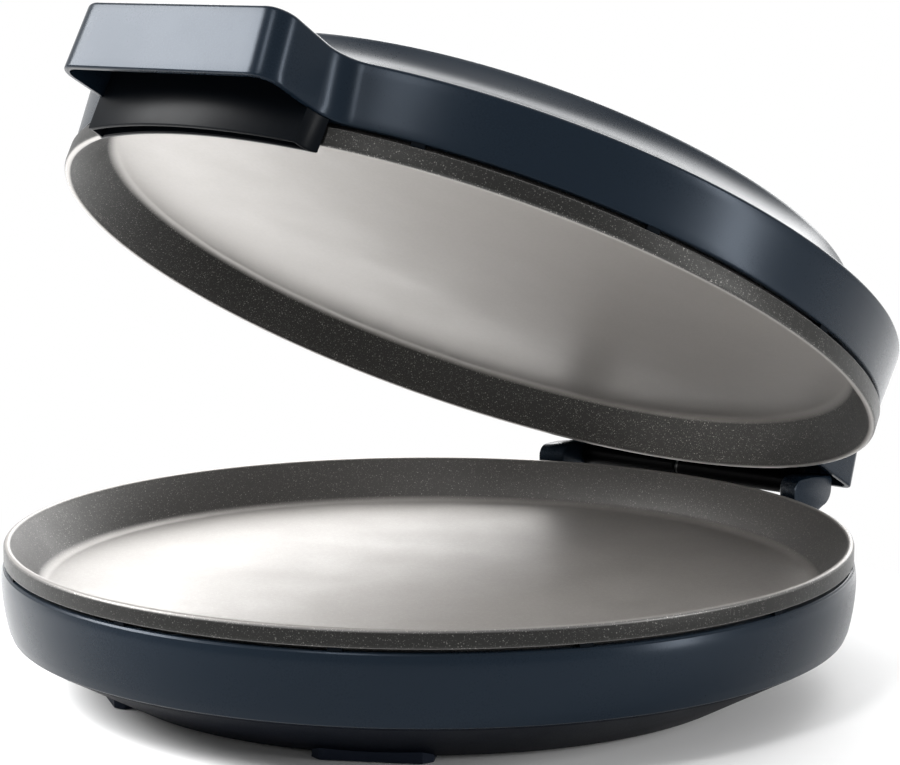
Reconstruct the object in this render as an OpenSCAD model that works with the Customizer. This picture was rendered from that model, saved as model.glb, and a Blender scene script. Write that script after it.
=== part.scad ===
// Electric pizza maker for a 12-inch pizza: two round non-stick plates, each in a painted
// housing, joined at the back by a hinge with a steel rod. Sizes are millimetres.
// The table is z = 0, the handle points to -Y and the hinge axis runs along X.

/* [Plates] */
// Radius over the base plate's rim
plate_r = 170; // [150:1:185]
// How far the lid plate's rim stands out past the base plate's
lid_plate_extra = 1; // [0.5:0.5:2]
// Depth of a plate from its rim to its cooking floor
plate_depth = 18; // [14:1:22]
// Thickness of the cast metal
plate_t = 3; // [2.5:0.5:3.5]
// Radial run of the sloped wall between the rim and the floor
wall_run = 11; // [9:1:16]
// Radius where the wall meets the floor
floor_fillet = 6; // [3:1:9]
// Width of the rolled lip
lip_w = 3.2; // [3:0.1:5]
// Thickness of the upright band under the lip
band_t = 2.4; // [2:0.1:3]
// Height of the band round the base plate
band_h = 7; // [6:0.5:10]
// Height of the band round the lid plate
lid_band_h = 7.7; // [6:0.1:10]

/* [Base] */
// Height of the housing's top edge above the table
rim_z = 50.1; // [48:0.1:60]
// Height of the joint between the housing and the bottom cover
skirt_z = 22.4; // [18:0.1:28]
// Height of the flat underside above the table
under_z = 2.2; // [1.8:0.1:6]
// How far the side's widest line stands out past the plate
belly_out = 1; // [0.5:0.1:3]
// Height of the side's widest line
belly_z = 44.5; // [34:0.5:46]
// How far the side draws in from its widest line to its foot
side_draft = 3.3; // [1:0.1:8]
// Thickness of both housings' walls
wall_t = 2.4; // [2:0.1:3]
// Open gap between the housing's rim and the plate's band
rim_gap = 1.4; // [1:0.1:3]
// Thickness of the bottom cover
cover_t = 2; // [1.6:0.1:2.6]
// Width of the tabs that carry the plates in the rim gaps
tab_w = 5; // [3:0.5:10]
// Angle from one tab to the next
tab_step = 30; // [20, 30, 40]

/* [Feet] */
// Length of a foot along the edge
foot_l = 45; // [30:1:60]
// Width of a foot across the edge
foot_w = 20; // [14:1:26]
// Radius of a foot's outer face
foot_r = 133; // [128:0.5:140]
// How far a foot stands out past the flat underside
foot_out = 3.5; // [2:0.5:7]
// Angle of a foot from the front or the back
foot_angle = 32; // [20:1:45]
// Thickness of the soft pad under a foot
pad_t = 1.6; // [1:0.1:1.8]

/* [Lid] */
// How far the lid stands open, as it is seen
lid_open = 28.47; // [0:0.01:100]
// Air between the two plates' rims with the lid shut
lip_gap = 0.3; // [0.3:0.1:1]
// Open gap between the lid plate's band and the lid housing
lid_gap = 2.3; // [1:0.1:4]
// Height of the lid's upright side
lid_side_h = 24.2; // [18:0.1:34]
// How far the side widens from its lower edge to its shoulder
lid_flare = 1.5; // [0:0.1:3]
// How far the crown's edge lies in from the lid's side
crown_in = 25; // [20:0.5:40]
// Height of the crown's edge above the shoulder
crown_rise = 18.9; // [12:0.1:26]
// Height of the crown's flat top above its edge
crown_dome = 1.3; // [0.5:0.1:3]

/* [Handle] */
// Width across the handle
handle_w = 107; // [80:1:120]
// How far the handle reaches past the lid's side
handle_reach = 27.7; // [22:0.1:40]
// Radius of the handle's front corners
handle_corner = 10; // [4:0.5:14]
// Radius where the handle's sides flow into the lid
handle_fillet = 13; // [6:0.5:18]
// Thickness of the handle's walls
handle_t = 3; // [2:0.1:4]
// How far the handle's top rises from the lid to its front
handle_lift = 2.2; // [0:0.1:4]
// Depth of the finger guard, front to back
guard_w = 8.6; // [6.5:0.1:10]
// How far the finger guard hangs below the lid's edge
guard_drop = 13.4; // [8:0.1:14]
// Thickness of the finger guard's walls
guard_t = 1.8; // [1.2:0.1:2]

/* [Hinge] */
// Distance of the hinge axis behind the base plate's rim
hinge_back = 10.5; // [9:0.1:14]
// Height of the hinge axis above the base plate's lip
hinge_rise = 0.7; // [0:0.1:2]
// Radius of the steel rod
rod_r = 3; // [2:0.1:3.5]
// Outer radius of the knuckles on the rod
knuckle_r = 5; // [4.5:0.1:5.5]
// Distance over the outsides of the two ears
ear_span = 141.4; // [110:0.1:150]
// Thickness of an ear
ear_t = 11; // [8:0.5:14]
// How far the ears reach behind the hinge axis
ear_back = 6.1; // [5:0.1:8]
// Height of the ears above the hinge axis
ear_top = 5.9; // [5:0.1:7]
// Gap between the two knuckles at the middle of the rod
knuckle_gap = 2.8; // [1:0.1:8]
// How far the hinge cover reaches behind the base plate's rim
cover_reach = 29.3; // [26:0.1:36]

/* [Heating] */
// Radius of the heating element's ring
element_ring_r = 118; // [90:1:125]
// Radius of the heating element's tube
element_r = 3.3; // [2.5:0.1:4]
// Gap between the heating element's ends, as an angle
element_gap = 22; // [16:1:40]
// Thickness of the reflector trays
tray_t = 0.8; // [0.5:0.1:1.5]
// Radius of the reflector trays' flat floor
tray_r = 138; // [132:1:142]
// Distance of the reflector trays behind the plates
tray_drop = 9.7; // [9:0.1:10.5]
// Radius of the ring of fixing posts
post_ring_r = 98; // [60:1:104]
// Outer radius of a fixing post
post_r = 6; // [5.5:0.1:7]
// Radius of the fixing screws
screw_r = 1.9; // [1.5:0.1:2.5]
// Length of cord that the gland's bore holds
gland_l = 14; // [10:1:18]
// Radius of the gland's bore
gland_bore_r = 3.6; // [3:0.1:4]
// Direction of the gland, from +X
gland_angle = 90; // [76:1:104]

/* [Hidden] */
$fn = 96;

// Clearance of pieces that seat in or beside each other
seat = 0.2;
// Running clearance of the rod in its bores
run = 0.05;
// Overlap of a cutter past the face that it cuts
cut = 1;
// Segments in a rounded edge or a moulded curve
round_n = 6;
curve_n = 10;

// The frame's origin lies under the middle of the footprint, with the lid as it is seen
axis_y = -18.65;

// Heights of the closed cooker, from the table up
lip_z = rim_z + rim_gap + band_h;
lid_lip_z = lip_z + lip_gap;
lid_edge_z = lid_lip_z + lid_band_h + lid_gap;
shoulder_z = lid_edge_z + lid_side_h;
crown_edge_z = shoulder_z + crown_rise;
crown_z = crown_edge_z + crown_dome;
base_back_z = lip_z - plate_depth - plate_t;
lid_back_z = lid_lip_z + plate_depth + plate_t;
base_tray_z = base_back_z - tray_drop;
lid_tray_z = lid_back_z + tray_drop;
floor_z = under_z + cover_t;
under_r = foot_r - foot_out;

// Radii of the plates and housings
lid_plate_r = plate_r + lid_plate_extra;
lid_r = plate_r;
shoulder_r = lid_r + lid_flare;
crown_r = lid_r - crown_in;
belly_r = plate_r + belly_out;
wall_angle = atan2(plate_depth, wall_run);
cover_slope = (skirt_z - 0.4 - under_z) / (side_r(skirt_z) - 1.7 - under_r);

// Hinge axis, ears and cover
hinge_y = plate_r + hinge_back;
hinge_z = lip_z + hinge_rise;
ear_out = ear_span / 2;
ear_in = ear_out - ear_t;
ear_bore_end = ear_out - 2.5;
ear_front_r = lid_plate_r + 1.5;
cover_side = 0.8;
cover_w = ear_span + 2 * (cover_side + wall_t);
cover_corner = 6;
cover_drop = 3.5;
cover_lean = 5.5;

// Handle and finger guard
guard_in_r = shoulder_r + 0.8;
guard_out_r = guard_in_r + guard_w;
handle_roof_z = shoulder_z - handle_t;
guard_roof_z = lid_edge_z + 4.4;
guard_screw_r = 1.25;
guard_post_r = 2.3;
guard_screw_x = 30;

// Fixings under and over the plates
post_angles = [45, 135, 225, 315];
clamp_angles = [20, 160, 235, 305];
clamp_reach = 11;
clamp_boss_r = 3.5;
clamp_screw_r = 1.5;
strap_t = 1.2;
head_h = 2.3;
head_r = 4;
lead_r = 1.4;
leg_drop = 20;
tray_rim = 8.8;
base_tray_hole = 24;
lid_tray_hole = 18;
lamp_x = 14;
lamp_y = -112;
lens_r = 4.4;

// Points of an arc of radius r about [x, y], from angle a to angle b
function arc(x, y, r, a, b, n = round_n) =
    [for (i = [0:n]) let (t = a + (b - a) * i / n) [x + r * cos(t), y + r * sin(t)]];

// Radius of the base's side at a height: a shallow belly that draws in to the foot
function side_r(z) = z < belly_z
    ? belly_r - side_draft * pow((belly_z - z) / (belly_z - skirt_z), 2)
    : belly_r - belly_out * pow((z - belly_z) / (rim_z - belly_z), 2);

// Radius of the back of a plate's sloped wall, at a depth below its lip
function wall_back_r(rim_r, depth) =
    rim_r - lip_w + plate_t / sin(wall_angle) - depth / tan(wall_angle);

// Section of a plate as [radius, depth below the lip]
function plate_section(rim_r, band) =
    let (
        inner_r = rim_r - lip_w,
        tangent = floor_fillet * tan(wall_angle / 2),
        fillet_r = inner_r - wall_run - tangent,
        fillet_d = plate_depth - floor_fillet,
        notch = min(
            (wall_back_r(rim_r, 0) - rim_r + band_t) * tan(wall_angle), band - 0.5)
    ) concat(
        [[0, plate_depth]],
        arc(fillet_r, fillet_d, floor_fillet, 90, 90 - wall_angle),
        [[inner_r - 0.7 / tan(wall_angle), 0.7], [inner_r + 0.7, 0]],
        arc(rim_r - 1.4, 1.4, 1.4, -90, 0),
        [[rim_r, band], [rim_r - band_t, band], [rim_r - band_t, notch]],
        arc(fillet_r, fillet_d, floor_fillet + plate_t, 90 - wall_angle, 90),
        [[0, plate_depth + plate_t]]
    );

// Plan of a block that grows out of a round body: straight sides, rounded front corners
// and hollow fillets into the body. Everything is drawn inwards by inset.
function block_plan(body, half_w, reach, corner, fillet, inset = 0) =
    let (
        r = body - inset,
        w = half_w - inset,
        front = body + reach - inset,
        c = max(corner - inset, 0.5),
        f = fillet + inset,
        fy = sqrt(pow(r + f, 2) - pow(w + f, 2)),
        turn = atan2(fy, -(w + f))
    ) concat(
        arc(w + f, -fy, f, turn, 180, curve_n),
        arc(w - c, c - front, c, 0, -90),
        arc(c - w, c - front, c, -90, -180),
        arc(-(w + f), -fy, f, 0, 180 - turn, curve_n)
    );

function handle_plan(inset = 0) =
    block_plan(lid_r, handle_w / 2, handle_reach, handle_corner, handle_fillet, inset);

function cover_plan(inset = 0) =
    block_plan(lid_r, cover_w / 2, cover_reach, cover_corner, cover_corner, inset);

// Concave shoulder between the lid's side and the crown's edge, drawn inwards by inset
function shoulder_curve(inset = 0) =
    let (
        a = [shoulder_r - 2, shoulder_z + 0.8],
        b = [crown_r, crown_edge_z],
        chord = norm(b - a),
        sag = 3,
        r = (pow(chord / 2, 2) + pow(sag, 2)) / (2 * sag),
        mid = (a + b) / 2,
        up = [b.y - a.y, a.x - b.x] / chord,
        centre = mid + up * (r - sag),
        from = atan2(a.y - centre.y, a.x - centre.x),
        to = atan2(b.y - centre.y, b.x - centre.x)
    ) arc(centre.x, centre.y, r + inset, from, to, curve_n);

module at_base() translate([0, axis_y, 0]) children();

module at_lid()
    translate([0, axis_y + hinge_y, hinge_z])
        rotate([-lid_open, 0, 0])
            translate([0, -hinge_y, -hinge_z])
                children();

// A disc or ring section turned about the cooker's axis
module turned(points) rotate_extrude($fn = 180) polygon(points);

module ring(outer, inner, z, h)
    translate([0, 0, z])
        difference() {
            cylinder(r = outer, h = h, $fn = 180);
            translate([0, 0, -cut]) cylinder(r = inner, h = h + 2 * cut, $fn = 180);
        }

// A round bar between two heights
module bar(r, z0, z1) translate([0, 0, z0]) cylinder(r = r, h = z1 - z0, $fn = 48);

module around(angles, r)
    for (a = angles) rotate([0, 0, a]) translate([r, 0, 0]) children();

// A profile in Y and Z, carried along X from x0 to x1
module along_x(points, x0, x1)
    translate([x0, 0, 0]) rotate([90, 0, 90]) linear_extrude(x1 - x0) polygon(points);

// Both sides of the cooker
module pair() {
    children();
    mirror([1, 0, 0]) children();
}

// A wire that runs through a list of points, with a slight swelling at each bend
module wire(points, r = lead_r) {
    for (i = [0:len(points) - 2]) {
        way = points[i + 1] - points[i];
        translate(points[i])
            rotate([0, acos(way.z / norm(way)), atan2(way.y, way.x)])
                cylinder(r = r, h = norm(way), $fn = 32);
    }
    for (i = [1:1:len(points) - 2]) translate(points[i]) sphere(r = r + 0.2, $fn = 32);
}

// Base housing: turned wall with a rim flange under the plate, and two hinge ears
module base_wall_outside()
    turned(concat(
        [[0, skirt_z], [side_r(skirt_z) - 1.2, skirt_z]],
        [for (i = [0:curve_n]) let (z = skirt_z + 1.2 + (rim_z - 0.8 - skirt_z - 1.2) * i / curve_n)
            [side_r(z), z]],
        [[side_r(rim_z) - 0.8, rim_z], [0, rim_z]]
    ));

module base_wall_inside()
    turned(concat(
        [[0, skirt_z - cut]],
        [for (i = [0:curve_n]) let (z = skirt_z - (i == 0 ? cut : 0) + (rim_z - 5 - skirt_z) * i / curve_n)
            [side_r(max(z, skirt_z)) - wall_t, z]],
        [[wall_back_r(plate_r, lip_z - rim_z) + 0.6, rim_z - 2],
         [wall_back_r(plate_r, lip_z - rim_z) + 0.6, rim_z + cut], [0, rim_z + cut]]
    ));

ear_profile = concat(
    [[plate_r - 20, rim_z - 14], [hinge_y - 16, rim_z - 4]],
    arc(hinge_y + ear_back - 8, rim_z + 8.4, 8, -90, 0),
    arc(hinge_y + ear_back - 2, hinge_z + ear_top - 3.6, 2, 0, 80, 3),
    [[hinge_y - 12, hinge_z + ear_top]],
    arc(hinge_y - 18.6, hinge_z + ear_top - 5, 5, 90, 180),
    [[plate_r - 20, hinge_z]]
);

module ear()
    difference() {
        along_x(ear_profile, ear_in, ear_out);
        bar(ear_front_r, rim_z, hinge_z + ear_top + cut);
    }

module base_housing()
    color([0.10, 0.14, 0.18]) at_base()
        difference() {
            union() {
                base_wall_outside();
                pair() ear();
                at_gland() bar(gland_flange_r + 1, -6, 0);
            }
            base_wall_inside();
            pair()
                translate([ear_in - cut, hinge_y, hinge_z])
                    rotate([0, 90, 0]) cylinder(r = rod_r + run, h = ear_bore_end - ear_in + cut);
            at_gland() bar(gland_body_r + seat, -14, cut);
        }

// Tabs of a ring that carries a plate's band
module rim_tabs(outer, z, h)
    intersection() {
        ring(outer, outer - 2.2, z, h);
        for (a = [0:tab_step:359])
            rotate([0, 0, a]) translate([outer - 6, -tab_w / 2, z - cut]) cube([12, tab_w, h + 2 * cut]);
    }

module base_rim_tabs() color([0.08, 0.11, 0.15]) at_base() rim_tabs(plate_r - 0.3, rim_z, rim_gap);

// Bottom cover: a dish with a locating rim, and tubes for the long screws
module cover_outside()
    turned([
        [0, under_z], [under_r, under_z], [side_r(skirt_z) - 1.7, skirt_z - 0.4],
        [side_r(skirt_z) - 1.7, skirt_z], [0, skirt_z]
    ]);

module cover_inside()
    turned([
        [0, floor_z], [under_r - 0.5, floor_z],
        [side_r(skirt_z) - wall_t - seat - cover_t,
         floor_z + cover_slope * (side_r(skirt_z) - wall_t - seat - cover_t - under_r + 0.5)],
        [side_r(skirt_z) - wall_t - seat - cover_t, skirt_z + cut], [0, skirt_z + cut]
    ]);

module bottom_cover()
    color([0.07, 0.09, 0.12]) at_base()
        difference() {
            union() {
                difference() {
                    union() {
                        cover_outside();
                        bar(side_r(skirt_z) - wall_t - seat, skirt_z - cut, skirt_z + 3.6);
                    }
                    cover_inside();
                    bar(side_r(skirt_z) - wall_t - seat - cover_t, skirt_z, skirt_z + 3.6 + cut);
                }
                around(post_angles, post_ring_r) bar(post_r, under_z, base_tray_z - tray_t);
            }
            around(post_angles, post_ring_r) {
                bar(screw_r + 0.3, under_z - cut, base_tray_z + cut);
                bar(head_r + 0.3, under_z - cut, under_z + 3.2);
            }
        }

// Feet under the cover's edge, with soft pads let into them
module foot_plan(inset)
    translate([-foot_l / 2 + inset, -foot_r + inset])
        difference() {
            square([foot_l - 2 * inset, foot_w - 2 * inset]);
            for (x = [0, foot_l - 2 * inset]) translate([x, 0]) rotate(45) square(5, center = true);
        }

module at_feet()
    for (a = [foot_angle, -foot_angle, 180 + foot_angle, 180 - foot_angle])
        rotate([0, 0, a]) children();

module feet()
    color([0.06, 0.08, 0.11]) at_base()
        difference() {
            at_feet() translate([0, 0, 0.4]) linear_extrude(skirt_z) foot_plan(0);
            at_feet() translate([0, 0, -cut]) linear_extrude(pad_t + cut) foot_plan(3);
            cover_outside();
            bar(belly_r, skirt_z - 0.1, 2 * skirt_z);
        }

module foot_pads()
    color([0.05, 0.05, 0.05]) at_base() at_feet() linear_extrude(pad_t) foot_plan(3 + seat);

// Plates: cast dishes, with bosses behind the floor for posts and element clamps
module plate_bosses(post_h, clamp_h)
    difference() {
        union() {
            around(post_angles, post_ring_r) bar(post_r - 1, 0, post_h);
            around(clamp_angles, element_ring_r - clamp_reach) bar(clamp_boss_r, 0, clamp_h);
        }
        around(post_angles, post_ring_r) bar(screw_r + run, 2, post_h + cut);
        around(clamp_angles, element_ring_r - clamp_reach) bar(clamp_screw_r + run, 1, clamp_h + cut);
    }

module base_plate()
    color([0.16, 0.16, 0.16]) at_base() {
        turned([for (p = plate_section(plate_r, band_h)) [p.x, lip_z - p.y]]);
        translate([0, 0, base_back_z]) mirror([0, 0, 1]) {
            plate_bosses(tray_drop, strap_depth());
            thermostat_bosses();
        }
    }

module lid_plate()
    color([0.42, 0.40, 0.38]) at_lid() {
        turned([for (p = plate_section(lid_plate_r, lid_band_h)) [p.x, lid_lip_z + p.y]]);
        translate([0, 0, lid_back_z]) plate_bosses(tray_drop, strap_depth());
    }

// Distance from a plate's back to the strap that holds the element
function strap_depth() = 2 * element_r + 2 * seat;

// Heating element: a bent tube with two legs, its back to the plate at z = 0
module element() {
    z = seat + element_r;
    translate([0, 0, z])
        rotate([0, 0, 90 + element_gap / 2])
            rotate_extrude(angle = 360 - element_gap, $fn = 120)
                translate([element_ring_r, 0]) circle(r = element_r, $fn = 24);
    for (s = [-1, 1])
        rotate([0, 0, 90 + s * element_gap / 2]) translate([element_ring_r, 0, 0]) {
            translate([0, 0, z]) sphere(r = element_r + seat / 2, $fn = 32);
            bar(element_r, z, leg_drop);
            bar(1.2, leg_drop, leg_drop + 5);
        }
}

module base_element()
    color([0.45, 0.45, 0.44]) at_base()
        translate([0, 0, base_back_z]) mirror([0, 0, 1]) element();

module lid_element() color([0.45, 0.45, 0.44]) at_lid() translate([0, 0, lid_back_z]) element();

// Straps that hold the element against the plate
module clamps()
    around(clamp_angles, element_ring_r - clamp_reach)
        difference() {
            translate([-5, -6, strap_depth()]) cube([clamp_reach + element_r + 6, 12, strap_t]);
            bar(clamp_screw_r + 0.2, strap_depth() - cut, strap_depth() + strap_t + cut);
        }

module clamp_screws()
    around(clamp_angles, element_ring_r - clamp_reach) {
        bar(clamp_screw_r, 1.5, strap_depth() + strap_t);
        bar(clamp_screw_r + 1.2, strap_depth() + strap_t, strap_depth() + strap_t + 1.2);
    }

module base_element_clamps()
    color([0.62, 0.62, 0.60]) at_base()
        translate([0, 0, base_back_z]) mirror([0, 0, 1]) clamps();

module lid_element_clamps()
    color([0.62, 0.62, 0.60]) at_lid() translate([0, 0, lid_back_z]) clamps();

module base_clamp_screws()
    color([0.5, 0.5, 0.5]) at_base()
        translate([0, 0, base_back_z]) mirror([0, 0, 1]) clamp_screws();

module lid_clamp_screws()
    color([0.5, 0.5, 0.5]) at_lid() translate([0, 0, lid_back_z]) clamp_screws();

// Reflector tray: a thin dish that opens towards the plate, with z = 0 at the face by the plate
module reflector(centre_hole)
    difference() {
        turned([
            [centre_hole, 0], [tray_r, 0], [tray_r + 8, -6], [tray_r + tray_rim, -6],
            [tray_r + 0.4, tray_t], [centre_hole, tray_t]
        ]);
        around(post_angles, post_ring_r) bar(screw_r + 0.4, -cut, tray_t + cut);
        for (s = [-1, 1])
            rotate([0, 0, 90 + s * element_gap / 2]) translate([element_ring_r, 0, 0])
                bar(element_r + 2, -cut, tray_t + cut);
    }

module base_reflector()
    color([0.72, 0.72, 0.70]) at_base()
        translate([0, 0, base_tray_z]) mirror([0, 0, 1]) reflector(base_tray_hole);

module lid_reflector()
    color([0.72, 0.72, 0.70]) at_lid() translate([0, 0, lid_tray_z]) reflector(lid_tray_hole);

// Long screws from the bottom cover into the plate's bosses
module cover_screws()
    color([0.55, 0.55, 0.56]) at_base() around(post_angles, post_ring_r) {
        difference() {
            bar(head_r, under_z + 3.2 - head_h, under_z + 3.2);
            for (a = [0, 90])
                rotate([0, 0, a]) translate([-2.4, -0.5, under_z]) cube([4.8, 1, 1.8]);
        }
        bar(screw_r, under_z + 3.2, base_back_z - 3);
    }

// Thermostat: a snap-disc switch on a strap, held to the middle of the base plate
module thermostat_bosses()
    for (x = [-14, 14])
        translate([x, 0, 0]) difference() {
            bar(clamp_boss_r, 0, 7);
            bar(clamp_screw_r + run, 1, 7 + cut);
        }

module thermostat()
    color([0.75, 0.70, 0.60]) at_base()
        translate([0, 0, base_back_z]) mirror([0, 0, 1]) {
            bar(8.5, seat, 7);
            difference() {
                translate([-19, -5, 7]) cube([38, 10, 1]);
                for (x = [-14, 14]) translate([x, 0, 0]) bar(clamp_screw_r + 0.2, 6, 9);
            }
            bar(7.5, 8, 14);
            for (y = [-4, 4]) translate([-2, y - 0.4, 14]) cube([4, 0.8, 5]);
        }

module thermostat_screws()
    color([0.5, 0.5, 0.5]) at_base()
        translate([0, 0, base_back_z]) mirror([0, 0, 1])
            for (x = [-14, 14]) translate([x, 0, 0]) {
                bar(clamp_screw_r, 1.5, 8);
                bar(clamp_screw_r + 1.2, 8, 9.2);
            }

// Terminal block on the cover's floor, in line with the gland
block_size = [34, 18, 13];
block_r = plate_r - 86;

module terminal_block()
    color([0.85, 0.84, 0.80]) at_base()
        rotate([0, 0, gland_angle]) translate([block_r, 0, floor_z])
            difference() {
                translate([-block_size.y / 2, -block_size.x / 2, 0])
                    cube([block_size.y, block_size.x, block_size.z]);
                for (y = [-11, 0, 11])
                    translate([0, y, 0]) bar(2.6, block_size.z - 5, block_size.z + cut);
            }

// Gland that a mains cord passes: a flanged bush on a flat boss in the housing's wall
gland_z = 34;
gland_body_r = 6;
gland_flange_r = 8.5;

module at_gland()
    rotate([0, 0, gland_angle]) translate([belly_r, 0, gland_z]) rotate([0, 90, 0]) children();

module cord_gland()
    color([0.05, 0.05, 0.05]) at_base()
        at_gland()
            difference() {
                union() {
                    bar(gland_body_r, -8, gland_l - 8);
                    bar(gland_flange_r, 0.05, 2.5);
                }
                bar(gland_bore_r, -8 - cut, gland_l - 8 + cut);
            }

// Leads that lie on the cover's floor and rise to the element's legs, with a fuse in one
lead_z = floor_z + lead_r + seat;
leg_end_z = base_back_z - leg_drop - 5;

function leg_place(s, z, r = element_ring_r) =
    [r * cos(90 + s * element_gap / 2), r * sin(90 + s * element_gap / 2), z];

module base_leads()
    color([0.55, 0.12, 0.10]) at_base() {
        block_y = block_r - block_size.y / 2;
        fuse_end = fuse_l / 2 + 2;
        left = leg_place(1, lead_z);
        right = leg_place(-1, lead_z);
        wire([[block_size.x / 2 + 0.3, block_r, lead_z], [right.x, block_r, lead_z],
              right, leg_place(-1, leg_end_z)]);
        wire([[fuse_end, block_y - 0.3, lead_z], [fuse_end, fuse_y, lead_z], [fuse_l / 2, fuse_y, lead_z]]);
        wire([[-fuse_l / 2, fuse_y, lead_z], [left.x, fuse_y, lead_z], left, leg_place(1, leg_end_z)]);
    }

fuse_y = block_r - 32;
fuse_l = 26;

module thermal_fuse()
    color([0.80, 0.78, 0.70]) at_base()
        translate([-fuse_l / 2, fuse_y, floor_z + 1.7])
            rotate([0, 90, 0]) cylinder(r = 1.6, h = fuse_l, $fn = 32);

// Steel rod through both ears and both knuckles
module hinge_rod()
    color([0.60, 0.61, 0.62]) at_base()
        translate([-ear_bore_end + 0.3, hinge_y, hinge_z])
            rotate([0, 90, 0]) cylinder(r = rod_r, h = 2 * (ear_bore_end - 0.3));

// Lid housing: a turned shell with a moulded handle in front and a hinge cover behind
module lid_outside()
    turned(concat(
        [[0, lid_edge_z], [lid_r - 0.6, lid_edge_z], [lid_r, lid_edge_z + 0.6]],
        arc(shoulder_r - 2, shoulder_z - 1.2, 2, 0, 90),
        shoulder_curve(),
        [[crown_r - 20, crown_z], [0, crown_z]]
    ));

module lid_inside()
    turned(concat(
        [[0, lid_edge_z - cut], [lid_r - wall_t, lid_edge_z - cut],
         [shoulder_r - wall_t, shoulder_z - 2]],
        shoulder_curve(wall_t),
        [[crown_r - 20, crown_z - wall_t], [0, crown_z - wall_t]]
    ));

// Side view of the handle and of its hollow, as [y, z]
handle_side = [
    [-lid_r + 20, lid_edge_z], [-lid_r - handle_reach, lid_edge_z],
    [-lid_r - handle_reach, shoulder_z + handle_lift], [-lid_r + 11, shoulder_z],
    [-lid_r + 20, shoulder_z]
];

module handle_block()
    intersection() {
        translate([0, 0, lid_edge_z]) linear_extrude(lid_side_h + handle_lift) polygon(handle_plan());
        along_x(handle_side, -handle_w, handle_w);
    }

module handle_hollow()
    difference() {
        translate([0, 0, lid_edge_z - cut])
            linear_extrude(handle_roof_z - lid_edge_z + cut) polygon(handle_plan(handle_t));
        bar(shoulder_r, lid_edge_z - 2 * cut, shoulder_z);
    }

// Side view of the hinge cover, drawn inwards by inset: a lip that dips, and a leaning back
function cover_side_view(inset) =
    let (back = lid_r + cover_reach - inset, top = shoulder_z - inset, low = lid_edge_z - (inset > 0 ? 10 : 0))
    concat(
        [[lid_r - 20, top], [lid_r - 20, low], [lid_r + 3, low]],
        inset > 0 ? [[back, low]] : arc(back - 5, low - cover_drop + 5, 5, -90, -10, 4),
        [[back - cover_lean, top]]
    );

module cover_block()
    intersection() {
        translate([0, 0, lid_edge_z - cover_drop])
            linear_extrude(lid_side_h + cover_drop) mirror([0, 1]) polygon(cover_plan());
        along_x(cover_side_view(0), -cover_w, cover_w);
    }

module cover_hollow()
    intersection() {
        difference() {
            translate([0, 0, lid_edge_z - 8])
                linear_extrude(lid_side_h + 8) mirror([0, 1]) polygon(cover_plan(wall_t));
            bar(shoulder_r, lid_edge_z, shoulder_z);
        }
        along_x(cover_side_view(wall_t), -cover_w, cover_w);
    }

// Places of the screws that hold the knuckles, and of those that hold the guard
knuckle_screw_x = [18, 46];
guard_screw_y = -sqrt(pow(guard_in_r + guard_w / 2, 2) - pow(guard_screw_x, 2));
flange_z = shoulder_z - wall_t - 6;
lead_hole_z = lid_tray_z - 5.5;

module lid_housing()
    color([0.10, 0.14, 0.18]) at_lid()
        difference() {
            union() {
                difference() {
                    union() {
                        lid_outside();
                        handle_block();
                        cover_block();
                    }
                    lid_inside();
                    handle_hollow();
                    cover_hollow();
                }
                around(post_angles, post_ring_r) bar(post_r, lid_tray_z + tray_t, crown_z - 1);
                pair() translate([guard_screw_x, guard_screw_y, 0])
                    bar(guard_post_r, guard_roof_z + guard_t, handle_roof_z + 1);
                pair() for (x = knuckle_screw_x)
                    translate([x, hinge_y, 0]) bar(4, flange_z, shoulder_z - 1);
            }
            around(post_angles, post_ring_r) bar(screw_r + run, lid_tray_z, crown_z - wall_t - 4);
            pair() translate([guard_screw_x, guard_screw_y, 0])
                bar(guard_screw_r + run, guard_roof_z, handle_roof_z);
            pair() for (x = knuckle_screw_x)
                translate([x, hinge_y, 0]) bar(clamp_screw_r + run, flange_z - cut, shoulder_z - 2);
            pair() translate([lamp_x, lamp_y, 0]) bar(lens_r + 0.1, crown_z - 2 * wall_t, crown_z + cut);
            translate([0, lid_r, lead_hole_z]) rotate([90, 0, 0]) cylinder(r = 4, h = 20, center = true);
        }

module lid_rim_tabs()
    color([0.08, 0.11, 0.15]) at_lid() rim_tabs(lid_r - 0.3, lid_edge_z - lid_gap, lid_gap);

// Finger guard: a curved trough under the handle, open below, with a tall front wall
module guard_ring(inset, z0, z1, side_inset)
    intersection() {
        ring(guard_out_r - inset, guard_in_r + inset, z0, z1 - z0);
        translate([0, 0, z0]) linear_extrude(z1 - z0) polygon(handle_plan(side_inset));
        translate([-handle_w, -2 * lid_r, z0]) cube([2 * handle_w, 2 * lid_r - lid_r * 0.8, z1 - z0]);
    }

module finger_guard()
    color([0.06, 0.08, 0.11]) at_lid()
        difference() {
            union() {
                guard_ring(0, lid_edge_z - guard_drop, lid_edge_z, 0.2);
                guard_ring(0, lid_edge_z - 0.01, guard_roof_z + guard_t, handle_t + seat);
                intersection() {
                    guard_ring(0, guard_roof_z, handle_roof_z, handle_t + seat);
                    ring(guard_out_r + 1, guard_out_r - guard_t, guard_roof_z, handle_roof_z - guard_roof_z);
                }
            }
            guard_ring(guard_t, lid_edge_z - guard_drop - cut, lid_edge_z - guard_t, guard_t + 0.2);
            guard_ring(guard_t, lid_edge_z - guard_t - 0.01, guard_roof_z, handle_t + seat + guard_t);
            pair() translate([guard_screw_x, guard_screw_y, 0])
                bar(guard_screw_r + 0.3, guard_roof_z - cut, guard_roof_z + guard_t + cut);
        }

module guard_screws()
    color([0.5, 0.5, 0.5]) at_lid()
        pair() translate([guard_screw_x, guard_screw_y, 0]) {
            bar(guard_screw_r, guard_roof_z, handle_roof_z - 4);
            bar(guard_screw_r + 0.7, guard_roof_z - 1.3, guard_roof_z);
        }

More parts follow.
